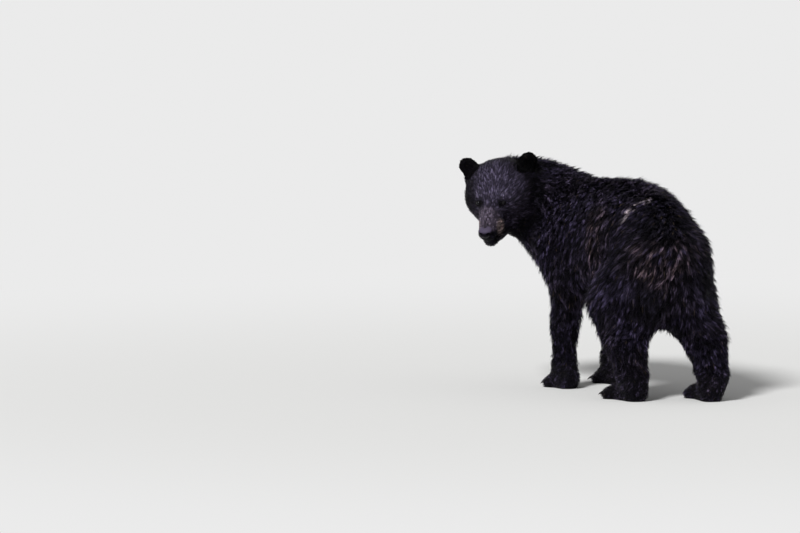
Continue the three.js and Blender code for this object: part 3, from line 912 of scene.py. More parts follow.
def lock_table(rng, part_faces, count, weight):
    """The middles of the locks and what the tufts of each share."""
    chosen, shares = scattered(rng, part_faces, count, weight)
    places = at_roots(skin_places, part_faces, chosen, shares)
    tree = kdtree.KDTree(count)
    for index, place in enumerate(places):
        tree.insert(Vector(place), index)
    tree.balance()
    return {
        "tree": tree,
        "places": places,
        "turn": rng.normal(size=count),
        "rise": rng.normal(size=count),
        "curl": rng.normal(size=count),
        "length": LOCK_LENGTHS[0] + LOCK_LENGTHS[1] * rng.random(count),
        # each lock's random tone; the fur group makes the lightest ones painted glints
        "shade": rng.random(count),
    }


print("a lock is", LOCK_LENGTHS[0], "to", sum(LOCK_LENGTHS), "of the coat's length")

# %% The kinds of tuft
# length and width as shares of the coat's, degrees off the skin for each straight stretch, and how
# strongly the end of each stretch leans to the lock's own tip
UNDERFUR = {"length": 0.78, "width": 1.15, "rise": (46, 18), "pull": (0.0, 0.55)}
GUARD = {"length": 1.0, "width": 0.82, "rise": (50, 27, 10), "pull": (0.0, 0.45, 0.85)}
SHORT = {"length": 1.0, "width": 1.0, "rise": (21,), "pull": (0.15,)}
ROOT_SINK = 0.35  # how far a tuft starts under the skin, in its own widths
LOCK_TURN = 0.22  # how far a lock strays from the lie, in radians
LOCK_RISE = 6.0  # and how much more or less it stands up, in degrees
STRAY_TURN = 0.28  # each tuft's own share of that turn
STRAY_RISE = 0.4  # and of that rise
TUFT_LENGTHS = (0.86, 0.28)  # the shortest tuft's share of its lock's length, and what a long one adds
LOWEST, HIGHEST = 3, 80  # degrees off the skin
LEAN = 0.4  # a tip moves by no more than this share of the tuft's length to join its lock
CURL = 0.10
TURNS_FULLY = 0.03  # a tuft this long turns with its lock, and a shorter one less
TURNS_LEAST = 0.4
LOCK_SHARE = 0.7  # how much of a tuft's colour comes from its lock's place
print("guard hairs have", len(GUARD["rise"]), "straight stretches")

# %% From roots to tips
def tuft_stations(kind, roots, forward, up, length, width, locks, mine, lift):
    """Each tuft's points from under the skin to its tip."""
    across = np.cross(up, forward)
    offset = locks["places"][mine] - roots
    offset -= (offset * up).sum(1, keepdims=True) * up
    reach = np.minimum(1, LEAN * length / np.maximum(np.linalg.norm(offset, axis=1), 1e-6))
    offset *= reach[:, None]
    curl = CURL * length * locks["curl"][mine]
    stretches = len(kind["rise"])
    step = length / stretches
    place = roots
    stations = [roots - ROOT_SINK * width[:, None] * up]
    for number, (rise, pull) in enumerate(zip(kind["rise"], kind["pull"])):
        angle = np.radians(np.clip(rise + lift, LOWEST, HIGHEST))
        place = place + step[:, None] * (np.cos(angle)[:, None] * forward + np.sin(angle)[:, None] * up)
        aside = curl * (number / stretches) ** 2
        stations.append(place + pull * offset + aside[:, None] * across)
    return np.stack(stations, axis=1), across


print("a tuft starts", ROOT_SINK, "of its width under the skin")

# %% One batch of tufts
def grown(rng, kind, part_faces, part_map, count, locks, weight):
    """One batch of tufts of one kind."""
    chosen, shares = scattered(rng, part_faces, count, weight)

    def under(values):
        return at_roots(values, part_faces, chosen, shares)

    roots = under(skin_places)
    up = unit(under(skin_normals))
    forward = along_surface(under(lie), up)
    length = under(tuft_length) * kind["length"]
    width = under(tuft_width) * kind["width"]
    mine = np.array([locks["tree"].find(Vector(root))[1] for root in roots])
    turn = LOCK_TURN * (locks["turn"][mine] + STRAY_TURN * rng.normal(size=count))
    turn *= np.clip(length / TURNS_FULLY, TURNS_LEAST, 1)
    forward = turned(forward, up, turn)
    length *= locks["length"][mine] * (TUFT_LENGTHS[0] + TUFT_LENGTHS[1] * rng.random(count))
    lift = LOCK_RISE * (locks["rise"][mine] + STRAY_RISE * rng.normal(size=count)) + under(stand)
    stations, across = tuft_stations(kind, roots, forward, up, length, width, locks, mine, lift)
    spots = (part_map[chosen] * shares[:, :, None]).sum(1)
    points, faces, places, along = tuft_mesh(stations, across, up, width, spots)
    coloured_from = (1 - LOCK_SHARE) * roots + LOCK_SHARE * locks["places"][mine]
    per_tuft = len(points) // count
    return {
        "points": points,
        "faces": faces,
        "map": places,
        "along": along,
        "root": np.repeat(coloured_from, per_tuft, axis=0),
        "strand": np.repeat(rng.random(count), per_tuft),
        "lock": np.repeat(locks["shade"][mine], per_tuft),
    }


print("short tufts rise", SHORT["rise"][0], "degrees off the skin")

# %% [markdown]
# ## Where hair stands up and where none grows
# The long hair on a bear's neck stands off more than that on its flanks, and the hair on its ears lies
# close. No hair grows on the nose pad, in the mouth, on the eyes or under the feet. Both could be
# painted by hand as weights, but the solids' names and the distances found above already say where.

# %% Standing and bare places
STAND = {"neck": 13.0, "chest": 5.0, "barrel": 2.0, "rump": 4.0, "hindleg": 2.0, "ear": -8.0}  # degrees
CROWN_STAND = 14
BARE_PAD = 1.15  # in pad sizes
BARE_GROOVE = 0.3
BARE_EYE = 0.0125

stand = np.zeros(len(skin_places))
for start, degrees in STAND.items():
    stand[labelled(start)] = degrees
stand = mesh_links.smooth(stand, COAT_ROUNDS) + CROWN_STAND * crown_top
bare = ((pad_reach < BARE_PAD) | (groove > BARE_GROOVE) | (eye_distance < BARE_EYE)).astype(float)
growth = (1 - bare) * (1 - sole)
print("hair grows on", (100 * growth.mean()).round(1), "% of the skin's vertices")

# %% [markdown]
# ## The coat pieces
# The coat is ten pieces, because one would be too heavy to bake or edit. Short fur is one layer of
# spikes. Long fur is two: broad underfur that closes the coat, and finer guard hair over it.

# %% Grow every piece
COAT_PIECES = {  # name: solids under it, short tufts, underfur, guard hairs, locks
    "coat_face": (("muzzle", "lower_jaw", "nose", "eye"), 22000, 0, 0, 3200),
    "coat_head": (("head",), 36000, 0, 0, 6500),
    "coat_ears": (("ear",), 7000, 0, 0, 700),
    "coat_neck": (("neck",), 0, 17000, 6500, 4000),
    "coat_shoulders": (("chest",), 0, 17000, 6500, 3200),
    "coat_barrel": (("barrel",), 0, 17000, 6500, 2200),
    "coat_rump": (("rump", "tail"), 0, 18000, 7000, 2300),
    "coat_thighs": (("hindleg_thigh",), 0, 18500, 7000, 2900),
    "coat_forelegs": (("foreleg", "forepaw"), 12000, 11500, 3000, 2600),
    "coat_hindlegs": (("hindleg_shank", "hindpaw"), 12000, 12000, 3000, 2600),
}
FIRST_SEED = 11


def coat_piece(name, rng, solids, short, under, guard, lock_count):
    """Unwraps the skin under one coat piece and grows its tufts."""
    wanted = [index for index, solid in enumerate(WHOLE) if solid.startswith(solids)]
    part_faces = triangles[np.isin(labels[triangles], wanted).sum(1) >= 2]
    used, packed = np.unique(part_faces, return_inverse=True)
    part_map = unwrapped(skin_places[used], packed.reshape(-1, 3))
    locks = lock_table(rng, part_faces, lock_count, growth)
    batches = []
    for kind, count in ((SHORT, short), (UNDERFUR, under), (GUARD, guard)):
        if count:
            batches.append(grown(rng, kind, part_faces, part_map, count, locks, growth))
    return joined_piece(name, batches)


coats = {}
for seed, (name, row) in enumerate(COAT_PIECES.items(), FIRST_SEED):
    coats[name] = coat_piece(name, np.random.default_rng(seed), *row)
    print(name, len(coats[name].data.polygons), "triangles")
print("coat in all:", sum(len(piece.data.polygons) for piece in coats.values()), "triangles")

# %% [markdown]
# ## Eyes and lids
# A bear's eye is a small wet ball deep in its lids. The ball could be a plain sphere, but the clear front
# of a real eye stands a little proud, and the light catches there first. The lids are their own rings of
# mesh, because a fold that thin needs finer faces than the skin has.

# %% Surfaces made of rings
def ring_mesh(name, rings, closed=False):
    """A piece whose surface runs from ring to ring. A closed one joins its last ring to its first."""
    count = len(rings[0])
    points = np.concatenate(rings)
    faces = []
    for row in range(len(rings) if closed else len(rings) - 1):
        low, high = row * count, (row + 1) % len(rings) * count
        for k in range(count):
            after = (k + 1) % count
            faces.append((low + k, low + after, high + after, high + k))
    if not closed:
        faces.append(tuple(range(count))[::-1])
        faces.append(tuple(range(len(points) - count, len(points))))
    mesh = bpy.data.meshes.new(name)
    mesh.from_pydata(points.tolist(), [], faces)
    maker = bmesh.new()
    maker.from_mesh(mesh)
    bmesh.ops.recalc_face_normals(maker, faces=maker.faces)
    poured(maker, mesh).shade_smooth()
    return linked(name, mesh)


def circle(count):
    """Cosines and sines round a full turn."""
    angle = np.arange(count) * 2 * math.pi / count
    return np.cos(angle), np.sin(angle)


print("rings of points become closed surfaces")

# %% Eyeballs
eye_low, eye_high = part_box("eye_left")
EYE_RADIUS = max(eye_high - eye_low) / 2
EYE_POINTS = 48
EYE_RINGS = 40
EYE_POLE = 0.02  # radians left round each pole, where a small face closes the ball
CORNEA_ANGLE = math.radians(34)
CORNEA_RISE = 0.045
EYE_SINK = 0.0025
EYE_SIDES = {"left": 1, "right": -1}
LOOK = unit(np.array([1.0, 0.26, 0.62])) @ HEAD_AXES  # the bear looks back at whoever stands behind it
SOCKET = np.array([1.0, 0.30, 0.58])  # the way the left socket faces, in the head's axes


def eye_frame(side):
    """An eye's middle, the way its socket faces, and its own left and up."""
    socket = unit(SOCKET * (1, EYE_SIDES[side], 1)) @ HEAD_AXES
    left = unit(np.cross(face_up, socket))
    return eyes[side] - EYE_SINK * socket, socket, left, np.cross(socket, left)


def eyeball(side):
    """A ball with a slightly raised cornea, poles along the look."""
    place = eye_frame(side)[0]
    left = unit(np.cross(face_up, LOOK))
    up = np.cross(LOOK, left)
    cosine, sine = circle(EYE_POINTS)
    polar = np.linspace(EYE_POLE, math.pi - EYE_POLE, EYE_RINGS)
    rings = []
    for angle in polar:
        bulge = 1 + CORNEA_RISE * ramp(CORNEA_ANGLE - angle, 0, CORNEA_ANGLE)
        ring = math.cos(angle) * LOOK + math.sin(angle) * (cosine[:, None] * left + sine[:, None] * up)
        rings.append(place + EYE_RADIUS * bulge * ring)
    piece = ring_mesh(f"eyeball_{side}", rings)
    set_value(piece.data, "polar", np.repeat(polar, EYE_POINTS))
    return piece


print("eye radius", round(EYE_RADIUS / MILLIMETRE, 1), "mm")

# %% Eyelids
OPENING = (0.0090, 0.0068)  # half the width and height of the eye's opening
OPENING_POINT = 0.25  # how much longer it runs towards the nose
LID_POINTS = 72
WIDEST = 0.98  # the opening's largest share of the ball
LID_ANGLES = (0.05, 2.0)  # radians from the socket's axis within which a lid stays
# Along the lid from inside to outside: degrees past the opening's edge, and millimetres off the ball.
LID_PROFILE = (
    (-4, -1.0), (0, 0.2), (3, 0.7), (7, 1.2), (13, 1.5), (21, 1.5),
    (30, 1.1), (42, 0.2), (56, -1.5), (36, -3.5), (8, -3.5),
)


def eyelids(side):
    """A ring of lid round the opening, pointed towards the nose."""
    place, socket, left, up = eye_frame(side)
    cosine, sine = circle(LID_POINTS)
    toward_nose = ramp(-EYE_SIDES[side] * cosine, 0.2, 1.0)
    half_width, half_height = OPENING
    longer = half_width * (1 + OPENING_POINT * toward_nose)
    edge = 1 / np.sqrt((cosine / longer) ** 2 + (sine / half_height) ** 2)
    edge_angle = np.arcsin(np.clip(edge / EYE_RADIUS, 0, WIDEST))
    round_eye = cosine[:, None] * left + sine[:, None] * up
    rings = []
    for past, off in LID_PROFILE:
        angle = np.clip(edge_angle + math.radians(past), *LID_ANGLES)[:, None]
        reach = EYE_RADIUS + off * MILLIMETRE
        rings.append(place + reach * (np.cos(angle) * socket + np.sin(angle) * round_eye))
    return ring_mesh(f"eyelids_{side}", rings, closed=True)


print("the lids open", 2 * OPENING[0] / MILLIMETRE, "mm wide")

# %% [markdown]
# ## Nose pad
# The pad is bare, pebbled skin on a blunt block, with two deep nostrils that open sideways through a
# slit. It could be cut from a block with booleans, but their edges are sharp. So the rings of a rounded
# block are pushed in where the nostrils are. Its top is painted paler, a painted reflection of the light
# from above, and the mesh carries how much of it each point has.

# %% The pad's block
PAD_POINTS = 96
PAD_RINGS = 64
PAD_POLE = 0.03
PAD_TOP_WIDER = 0.12
PAD_SLOPE = 0.22  # how much the front drops
PAD_UNDER_BACK = 0.004  # how far the underside is set back
PAD_DROP = 0.007  # how far the middle of the upper lip hangs down
PAD_DROP_HALF = 0.010  # and half of its width


def pad_block(ball):
    """Points of a ball, moved to the surface of the pad's block."""
    square = np.sign(ball) * np.abs(ball) ** NOSE_SQUARE
    place = square * NOSE_HALF
    place[:, 1] *= 1 + PAD_TOP_WIDER * square[:, 2]
    place[:, 2] -= PAD_SLOPE * place[:, 0]
    place[:, 0] -= PAD_UNDER_BACK * ramp(-square[:, 2], 0.1, 1.0)
    place[:, 2] -= PAD_DROP * bell(place[:, 1], PAD_DROP_HALF) * ramp(-ball[:, 2], 0.35, 1.0)
    return place


print("pad", (2 * NOSE_HALF / MILLIMETRE).round(0).tolist(), "mm")

# %% Nostrils and the groove between them
NOSTRIL = {"place": (0.0140, 0.0), "size": (0.0068, 0.0055), "depth": 0.013, "inwards": 0.003}
SLIT = {"height": -0.0045, "back": 0.012, "size": (0.009, 0.0024), "depth": 0.006, "slope": 0.25}
SLIT_TURN = 0.010  # where along the pad the slit's slope crosses its height
PAD_GROOVE = {"half": 0.0012, "depth": 0.0022, "below": 0.008}


def cut_nostrils(place, ball):
    """Pushes the block's surface in at the nostrils, their slits and the middle groove."""
    front = ramp(ball[:, 0], -0.1, 0.35)
    for side in (1, -1):
        away_y = (side * place[:, 1] - NOSTRIL["place"][0]) / NOSTRIL["size"][0]
        away_z = (place[:, 2] - NOSTRIL["place"][1]) / NOSTRIL["size"][1]
        hole = front * (1 - ramp(np.hypot(away_y, away_z), 0.45, 1.15))
        place[:, 0] -= NOSTRIL["depth"] * hole
        place[:, 1] -= side * NOSTRIL["inwards"] * hole
        slit_height = SLIT["height"] + SLIT["slope"] * (place[:, 0] - SLIT_TURN)
        slit_x = (place[:, 0] - SLIT["back"]) / SLIT["size"][0]
        slit_z = (place[:, 2] - slit_height) / SLIT["size"][1]
        slit = (1 - ramp(np.hypot(slit_x, slit_z), 0.5, 1.2)) * ramp(side * ball[:, 1], 0.35, 0.7)
        place[:, 1] -= side * SLIT["depth"] * slit
    middle_groove = bell(place[:, 1], PAD_GROOVE["half"]) * ramp(-place[:, 2], 0.0, PAD_GROOVE["below"])
    place[:, 0] -= PAD_GROOVE["depth"] * middle_groove * front


def painted_top_sheen(ball):
    """How much painted reflection the pad has: most on its top, none at the front and the sides."""
    top = ball[:, 2] - 0.8 * ball[:, 0] - 0.35 * np.abs(ball[:, 1])
    return ramp(top, -0.62, 0.20) * ramp(ball[:, 2], 0.0, 0.5)


def nose_pad():
    """The bare pad at the tip of the muzzle, its poles along the muzzle."""
    cosine, sine = circle(PAD_POINTS)
    rings = []
    painted_sheen = []
    for angle in np.linspace(PAD_POLE, math.pi - PAD_POLE, PAD_RINGS):
        ahead = np.full(PAD_POINTS, math.cos(angle))
        ball = np.stack([ahead, math.sin(angle) * cosine, math.sin(angle) * sine], axis=1)
        place = pad_block(ball)
        cut_nostrils(place, ball)
        rings.append(from_head(place + nose_middle))
        painted_sheen.append(painted_top_sheen(ball))
    piece = ring_mesh("nose_pad", rings)
    set_value(piece.data, "painted_sheen", np.concatenate(painted_sheen))
    return piece


print("nostrils", NOSTRIL["depth"] / MILLIMETRE, "mm deep")

# %% [markdown]
# ## Claws
# Each claw is a curved horn, higher than it is wide. The CAD solid has its root and tip, but flat sides.
# A Bezier curve in Blender could carry a taper, but a few lines of the same formula give the rings
# directly, and they hide in the toe's fur at one end and come to a point at the other.

# %% Claws
CLAW_POINTS = 14
CLAW_RINGS = 12
CLAW_ARCH = 0.0045  # how far the bend lies above the middle of root and tip
CLAW_WIDTH = 0.62  # as a share of its height
CLAW_TAPER = 0.75
CLAW_TIP = 0.0004
ROOT_SHARE = 0.9  # the root's size against the CAD solid's


def claw_rings(name):
    """A smooth curved claw through a CAD claw's root, bend and tip."""
    points = vertices_of(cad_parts[name].data)
    paw = name.replace("claw_fore", "forepaw").replace("claw_hind", "hindpaw").rsplit("_", 1)[0]
    ahead = unit((points.mean(0) - middle(paw)) * (1, 1, 0))
    order = np.argsort(points @ ahead)
    base = points[order[: len(order) // 4]]
    root, tip = base.mean(0), points[order[-1]]
    bend = (root + tip) / 2 + np.array([0, 0, CLAW_ARCH])
    half = np.linalg.norm(base - root, axis=1).max() * ROOT_SHARE
    across = unit(np.cross(ahead, [0, 0, 1.0]))
    cosine, sine = circle(CLAW_POINTS)
    rings = []
    for t in np.linspace(0, 1, CLAW_RINGS):
        place = (1 - t) ** 2 * root + 2 * t * (1 - t) * bend + t * t * tip
        way = unit(2 * (1 - t) * (bend - root) + 2 * t * (tip - bend))
        high = np.cross(across, way)
        size = half * (1 - t) ** CLAW_TAPER + CLAW_TIP
        rings.append(place + size * (CLAW_WIDTH * cosine[:, None] * across + sine[:, None] * high))
    return rings


def claws(paw):
    """The five claws of one paw as one piece."""
    names = [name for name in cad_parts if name.startswith(f"claw_{paw}_")]
    maker = bmesh.new()
    for name in sorted(names):
        part = ring_mesh(f"{name}_part", claw_rings(name))
        maker.from_mesh(part.data)
        drop(part)
    mesh = poured(maker, bpy.data.meshes.new(f"claws_{paw}"))
    mesh.shade_smooth()
    piece = linked(f"claws_{paw}", mesh)
    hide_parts(*names)
    return piece


print(sum(name.startswith("claw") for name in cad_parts), "claws to make")

# %% [markdown]
# ## The bear's colours
# A black bear's coat is a blue-violet black that bleaches to brown and tan at the tips of old hair. The
# colours could be painted on a map, but a map blurs and belongs to one unwrap. So they are soft
# ellipsoids and noise in the bear's own space, in one shader group. Some of them are painted light:
# painted shade on the rump, between the hind legs, on the far cheek and behind the cheek, and a painted
# highlight on the forehead and temple. Skin and coat both use it, and both give it the place on the skin,
# so their colours agree.

# %% Parts of a marking
def new_group(name, inputs, outputs):
    """A shader node group with named sockets: its tree, its inputs and its outputs."""
    tree = bpy.data.node_groups.new(name, "ShaderNodeTree")
    for label, kind in inputs.items():
        tree.interface.new_socket(name=label, in_out="INPUT", socket_type=f"NodeSocket{kind}")
    for label, kind in outputs.items():
        tree.interface.new_socket(name=label, in_out="OUTPUT", socket_type=f"NodeSocket{kind}")
    given = tree.nodes.new("NodeGroupInput").outputs
    return tree, given, tree.nodes.new("NodeGroupOutput").inputs


def blob(tree, place, centre, radii, softness):
    """A mask that is 1 in the middle of an ellipsoid and 0 outside it."""
    moved = node(tree, "ShaderNodeVectorMath", {"operation": "SUBTRACT"}, _0=place, _1=tuple(centre))
    scaled = node(tree, "ShaderNodeVectorMath", {"operation": "DIVIDE"}, _0=moved.outputs[0], _1=radii)
    away = node(tree, "ShaderNodeVectorMath", {"operation": "LENGTH"}, _0=scaled.outputs[0])
    fade = node(tree, "ShaderNodeMapRange", {"interpolation_type": "SMOOTHSTEP"},
                Value=away.outputs["Value"], From_Min=1.0, From_Max=1.0 - softness)
    return fade.outputs["Result"]


def blended(tree, share, first, second):
    """One colour turning into another."""
    made = node(tree, "ShaderNodeMix", {"data_type": "RGBA"}, _0=share, _6=first, _7=second)
    return made.outputs[2]


def patchy(tree, place, scale, low, high):
    """Noise in the bear's own space, spread out to run from 0 to 1."""
    spots = node(tree, "ShaderNodeTexNoise", Vector=place, Scale=scale, Detail=3.0)
    spread = node(tree, "ShaderNodeMapRange", Value=spots.outputs["Fac"], From_Min=low, From_Max=high)
    return spread.outputs["Result"]


print("marks are ellipsoids with soft edges")

# %% The colours
BLACK = (0.0060, 0.0049, 0.0098, 1)
BROWN_BLACK = (0.0086, 0.0068, 0.0108, 1)
# a black painted where shade falls, not a colour of the coat
PAINTED_SHADE_BLACK = (0.0022, 0.0019, 0.0032, 1)
RUSTY = (0.0245, 0.0172, 0.0195, 1)
TAN = (0.0560, 0.0475, 0.0520, 1)
# the face's greyer short fur, with a painted highlight of the light from above
FACE_GREY_AND_PAINTED_SHEEN = (0.0600, 0.0510, 0.0840, 1)
CHEEK_BLACK = (0.0470, 0.0390, 0.0620, 1)
BROW_GREY = (0.0900, 0.0780, 0.1220, 1)
MUZZLE_GREY = (0.1020, 0.0830, 0.1160, 1)
LIP_BROWN = (0.0560, 0.0420, 0.0440, 1)
LIP_RED = (0.0500, 0.0220, 0.0190, 1)
LIP_TAN = (0.3000, 0.2360, 0.2340, 1)
EAR_BLACK = (0.0016, 0.0014, 0.0022, 1)
# painted light: the far ear is painted lighter than the near one
PAINTED_LIGHT_EAR_GREY = (0.0120, 0.0092, 0.0150, 1)
DUST = (0.2600, 0.1900, 0.1200, 1)
print("the coat's own black is", BLACK[:3])

# %% Where the marks are on the body
# what it is, solid and the shares of its box, radii, softness, colour, and the noise that breaks the
# mark up: its scale, where it starts and where it is full
PATCHES = (60.0, 0.38, 0.62)
WIDE_PATCHES = (60.0, 0.41, 0.60)
TUFTY = (90.0, 0.40, 0.52)
STREAK = (0.016, 0.016, 0.018)
BODY_MARKS = [
    ("hip", "rump", (0.10, 0.735, 0.20), (0.15, 0.14, 0.14), 0.7, RUSTY, PATCHES),
    ("flank", "barrel", (0.39, 0.88, 0.58), (0.080, 0.09, 0.21), 0.7, RUSTY, WIDE_PATCHES),
    ("loin", "rump", (0.61, 0.69, 0.81), STREAK, 0.6, TAN, TUFTY),
    ("loin", "rump", (0.67, 0.71, 0.80), STREAK, 0.6, TAN, TUFTY),
    ("loin", "rump", (0.715, 0.745, 0.75), STREAK, 0.6, TAN, TUFTY),
    ("loin", "rump", (0.735, 0.78, 0.69), STREAK, 0.6, TAN, TUFTY),
    ("loin", "rump", (0.73, 0.81, 0.62), STREAK, 0.6, TAN, TUFTY),
    # painted shade on the rump and between the hind legs, where shade falls
    ("shade", "rump", (0.21, 0.65, 0.59), (0.125, 0.125, 0.125), 0.8, PAINTED_SHADE_BLACK, None),
    ("shade", "rump", (0.38, 0.77, 0.52), (0.095, 0.095, 0.095), 0.8, PAINTED_SHADE_BLACK, None),
    ("shade", "rump", (0.20, 0.27, 0.04), (0.120, 0.120, 0.120), 0.8, PAINTED_SHADE_BLACK, None),
    ("shade", "rump", (0.33, 0.76, -0.30), (0.110, 0.110, 0.110), 0.8, PAINTED_SHADE_BLACK, None),
    ("shade", "rump", (0.25, 0.88, -0.22), (0.080, 0.080, 0.080), 0.8, PAINTED_SHADE_BLACK, None),
]
print(len(BODY_MARKS), "marks on the body")

# %% Where the marks are on the head
# what it is, its sides, place in the head's axes, radii, softness, colour and noise. A mark on both
# sides is mirrored.
ONCE = (1,)
BOTH = (1, -1)
HEAD_MARKS = [
    ("cheeks", ONCE, (-0.03, 0.01, -0.04), (0.13, 0.17, 0.13), 0.5, CHEEK_BLACK, None),
    # forehead and temple: greyer short fur, partly a painted highlight on the lit side of the head
    ("forehead", ONCE, (-0.05, 0.014, 0.05), (0.16, 0.104, 0.15), 0.75, FACE_GREY_AND_PAINTED_SHEEN, None),
    ("temple", ONCE, (-0.070, 0.098, 0.034), (0.060, 0.044, 0.052), 0.8, FACE_GREY_AND_PAINTED_SHEEN, None),
    # painted shade: the far cheek, on the side turned from the lamp, and a dark band behind the cheek
    # down the throat
    ("far cheek", ONCE, (-0.03, -0.120, -0.02), (0.14, 0.090, 0.16), 0.8, PAINTED_SHADE_BLACK, None),
    ("throat", ONCE, (-0.110, 0.150, 0.000), (0.050, 0.034, 0.060), 0.7, PAINTED_SHADE_BLACK, None),
    ("throat", ONCE, (-0.080, 0.150, -0.050), (0.050, 0.036, 0.060), 0.7, PAINTED_SHADE_BLACK, None),
    ("throat", ONCE, (-0.050, 0.150, -0.110), (0.060, 0.046, 0.060), 0.7, PAINTED_SHADE_BLACK, None),
    ("throat", ONCE, (-0.030, 0.100, -0.122), (0.070, 0.056, 0.050), 0.7, PAINTED_SHADE_BLACK, None),
    ("throat", ONCE, (-0.010, 0.060, -0.150), (0.070, 0.060, 0.040), 0.7, PAINTED_SHADE_BLACK, None),
    ("eye hollow", BOTH, (0.012, 0.042, 0.002), (0.032, 0.026, 0.021), 0.6, EAR_BLACK, None),
    ("brow", BOTH, (-0.006, 0.050, 0.032), (0.024, 0.026, 0.012), 0.7, BROW_GREY, None),
    ("under eye", BOTH, (0.012, 0.050, -0.024), (0.022, 0.020, 0.008), 0.8, BROW_GREY, None),
    ("upper lip", BOTH, (0.088, 0.044, -0.060), (0.062, 0.026, 0.034), 0.5, LIP_BROWN, None),
    ("snout", ONCE, (0.085, 0.007, -0.020), (0.115, 0.055, 0.056), 0.4, MUZZLE_GREY, (150.0, 0.22, 0.50)),
    ("pale lip", BOTH, (0.072, 0.047, -0.068), (0.050, 0.036, 0.042), 0.5, LIP_TAN, (160.0, 0.30, 0.42)),
    ("chin", ONCE, (0.166, 0.0, -0.100), (0.056, 0.056, 0.056), 0.4, EAR_BLACK, None),
    ("lip edge", ONCE, (0.055, 0.0, -0.086), (0.055, 0.06, 0.006), 0.5, LIP_RED, None),
]
print(len(HEAD_MARKS), "marks on the head")

# %% The marks and painted light as a node group
ROOT_BACK = 0.6  # the part of a tuft that shows lies this share of its length past its root
GROUND = (7.0, 0.42, 0.68)  # slow noise between the two blacks


def root_below(place):
    """Where on the skin the hairs grow whose tips show at a place."""
    nearest = apart(coat_surface, place).argmin()
    return skin_places[nearest] - ROOT_BACK * tuft_length[nearest] * lie[nearest]


markings_and_painted_light, given, result = new_group("bear_markings_and_painted_light", {"Place": "Vector"}, {"Color": "Color"})
place = given["Place"]
marks = [(name, root_below(spot(solid, *shares)), *look) for name, solid, shares, *look in BODY_MARKS]
for name, sides, shown, *look in HEAD_MARKS:
    marks += [(name, from_head(np.array(shown) * (1, side, 1)), *look) for side in sides]
colour = blended(markings_and_painted_light, patchy(markings_and_painted_light, place, *GROUND), BLACK, BROWN_BLACK)
for name, centre, radii, softness, tint, spots in marks:
    mask = blob(markings_and_painted_light, place, centre, radii, softness)
    if spots:
        mask = maths(markings_and_painted_light, "MULTIPLY", mask, patchy(markings_and_painted_light, place, *spots))
    colour = blended(markings_and_painted_light, mask, colour, tint)
    colour.node.label = name
markings_and_painted_light.links.new(colour, result["Color"])
print("the group holds", len(markings_and_painted_light.nodes), "nodes")

# %% [markdown]
# ## Fur
# Black fur lies in shade deep in the coat and catches the light at its tips. So a group darkens each
# hair's root as painted shade and lightens its tip as a painted highlight. No two hairs or locks reflect
# quite the same, and one flat black would look like felt, so the group also lightens a few locks and a
# few hairs much more than the rest, partly their own tone and partly painted glints, and puts dust on
# very few tips. Body, face and ears use it with their own values. Black fur must not mirror its pale
# surroundings, so its specular level is low.

# %% The shades of hair as a node group
FEW = 4.0  # a power that leaves most locks and hairs dark and a few light
TIP_CURVE = 2.2
DUSTY = 0.994  # hairs with a number above this have dust on their tips


def mesh_value(tree, name):
    """A number that the mesh carries at each vertex."""
    return node(tree, "ShaderNodeAttribute", {"attribute_name": name}).outputs["Fac"]


def powered(tree, value, power, low, high):
    """A value from 0 to 1 raised to a power, and the same spread from low to high."""
    raised_value = node(tree, "ShaderNodeMath", {"operation": "POWER"}, _0=value, _1=power)
    spread = node(tree, "ShaderNodeMapRange", Value=raised_value.outputs[0], To_Min=low, To_Max=high)
    return raised_value.outputs[0], spread.outputs[0]


def product(tree, first, second):
    """Two values multiplied, as large as they get."""
    return node(tree, "ShaderNodeMath", {"operation": "MULTIPLY"}, _0=first, _1=second).outputs[0]


TONES = ("Root", "Tip", "Dark Lock", "Light Lock", "Dark Hair", "Light Hair")
shades, given, result = new_group(
    "hair_shades", {"Color": "Color"} | {tone: "Float" for tone in TONES}, {"Color": "Color"}
)
strand = mesh_value(shades, "strand")
# the root darkened as painted shade, the tip lightened as a painted highlight
tip, shade = powered(shades, mesh_value(shades, "along"), TIP_CURVE, given["Root"], given["Tip"])
# a few locks and hairs much lighter: partly their own tone, partly painted glints
lock_tone_and_glint = powered(shades, mesh_value(shades, "lock"), FEW, given["Dark Lock"], given["Light Lock"])[1]
own = powered(shades, strand, FEW, given["Dark Hair"], given["Light Hair"])[1]
lit = node(shades, "ShaderNodeVectorMath", {"operation": "SCALE"}, _0=given["Color"],
           Scale=product(shades, product(shades, shade, own), lock_tone_and_glint))
dusty = node(shades, "ShaderNodeMath", {"operation": "GREATER_THAN"}, _0=strand, _1=DUSTY)
flecked = maths(shades, "MULTIPLY", dusty.outputs[0], tip)
shades.links.new(blended(shades, flecked, lit.outputs[0], DUST), result["Color"])
print("each fur sets", TONES)

# %% The three furs
FUR_ROUGHNESS = 0.30
COOL_SHEEN = (0.86, 0.80, 1.0, 1)
EAR_BALL = 0.11  # large enough to hold the whole far ear
FURS = {  # specular level, then the six tones
    "black_fur": (0.11, (0.22, 2.3, 0.26, 8.5, 0.50, 5.6)),
    "face_fur": (0.11, (0.50, 1.8, 0.46, 3.6, 0.55, 5.0)),
    "ear_fur": (0.014, (0.30, 1.0, 0.50, 1.6, 0.60, 1.8)),
}
FUR_OF = {"coat_face": "face_fur", "coat_head": "face_fur", "coat_ears": "ear_fur"}


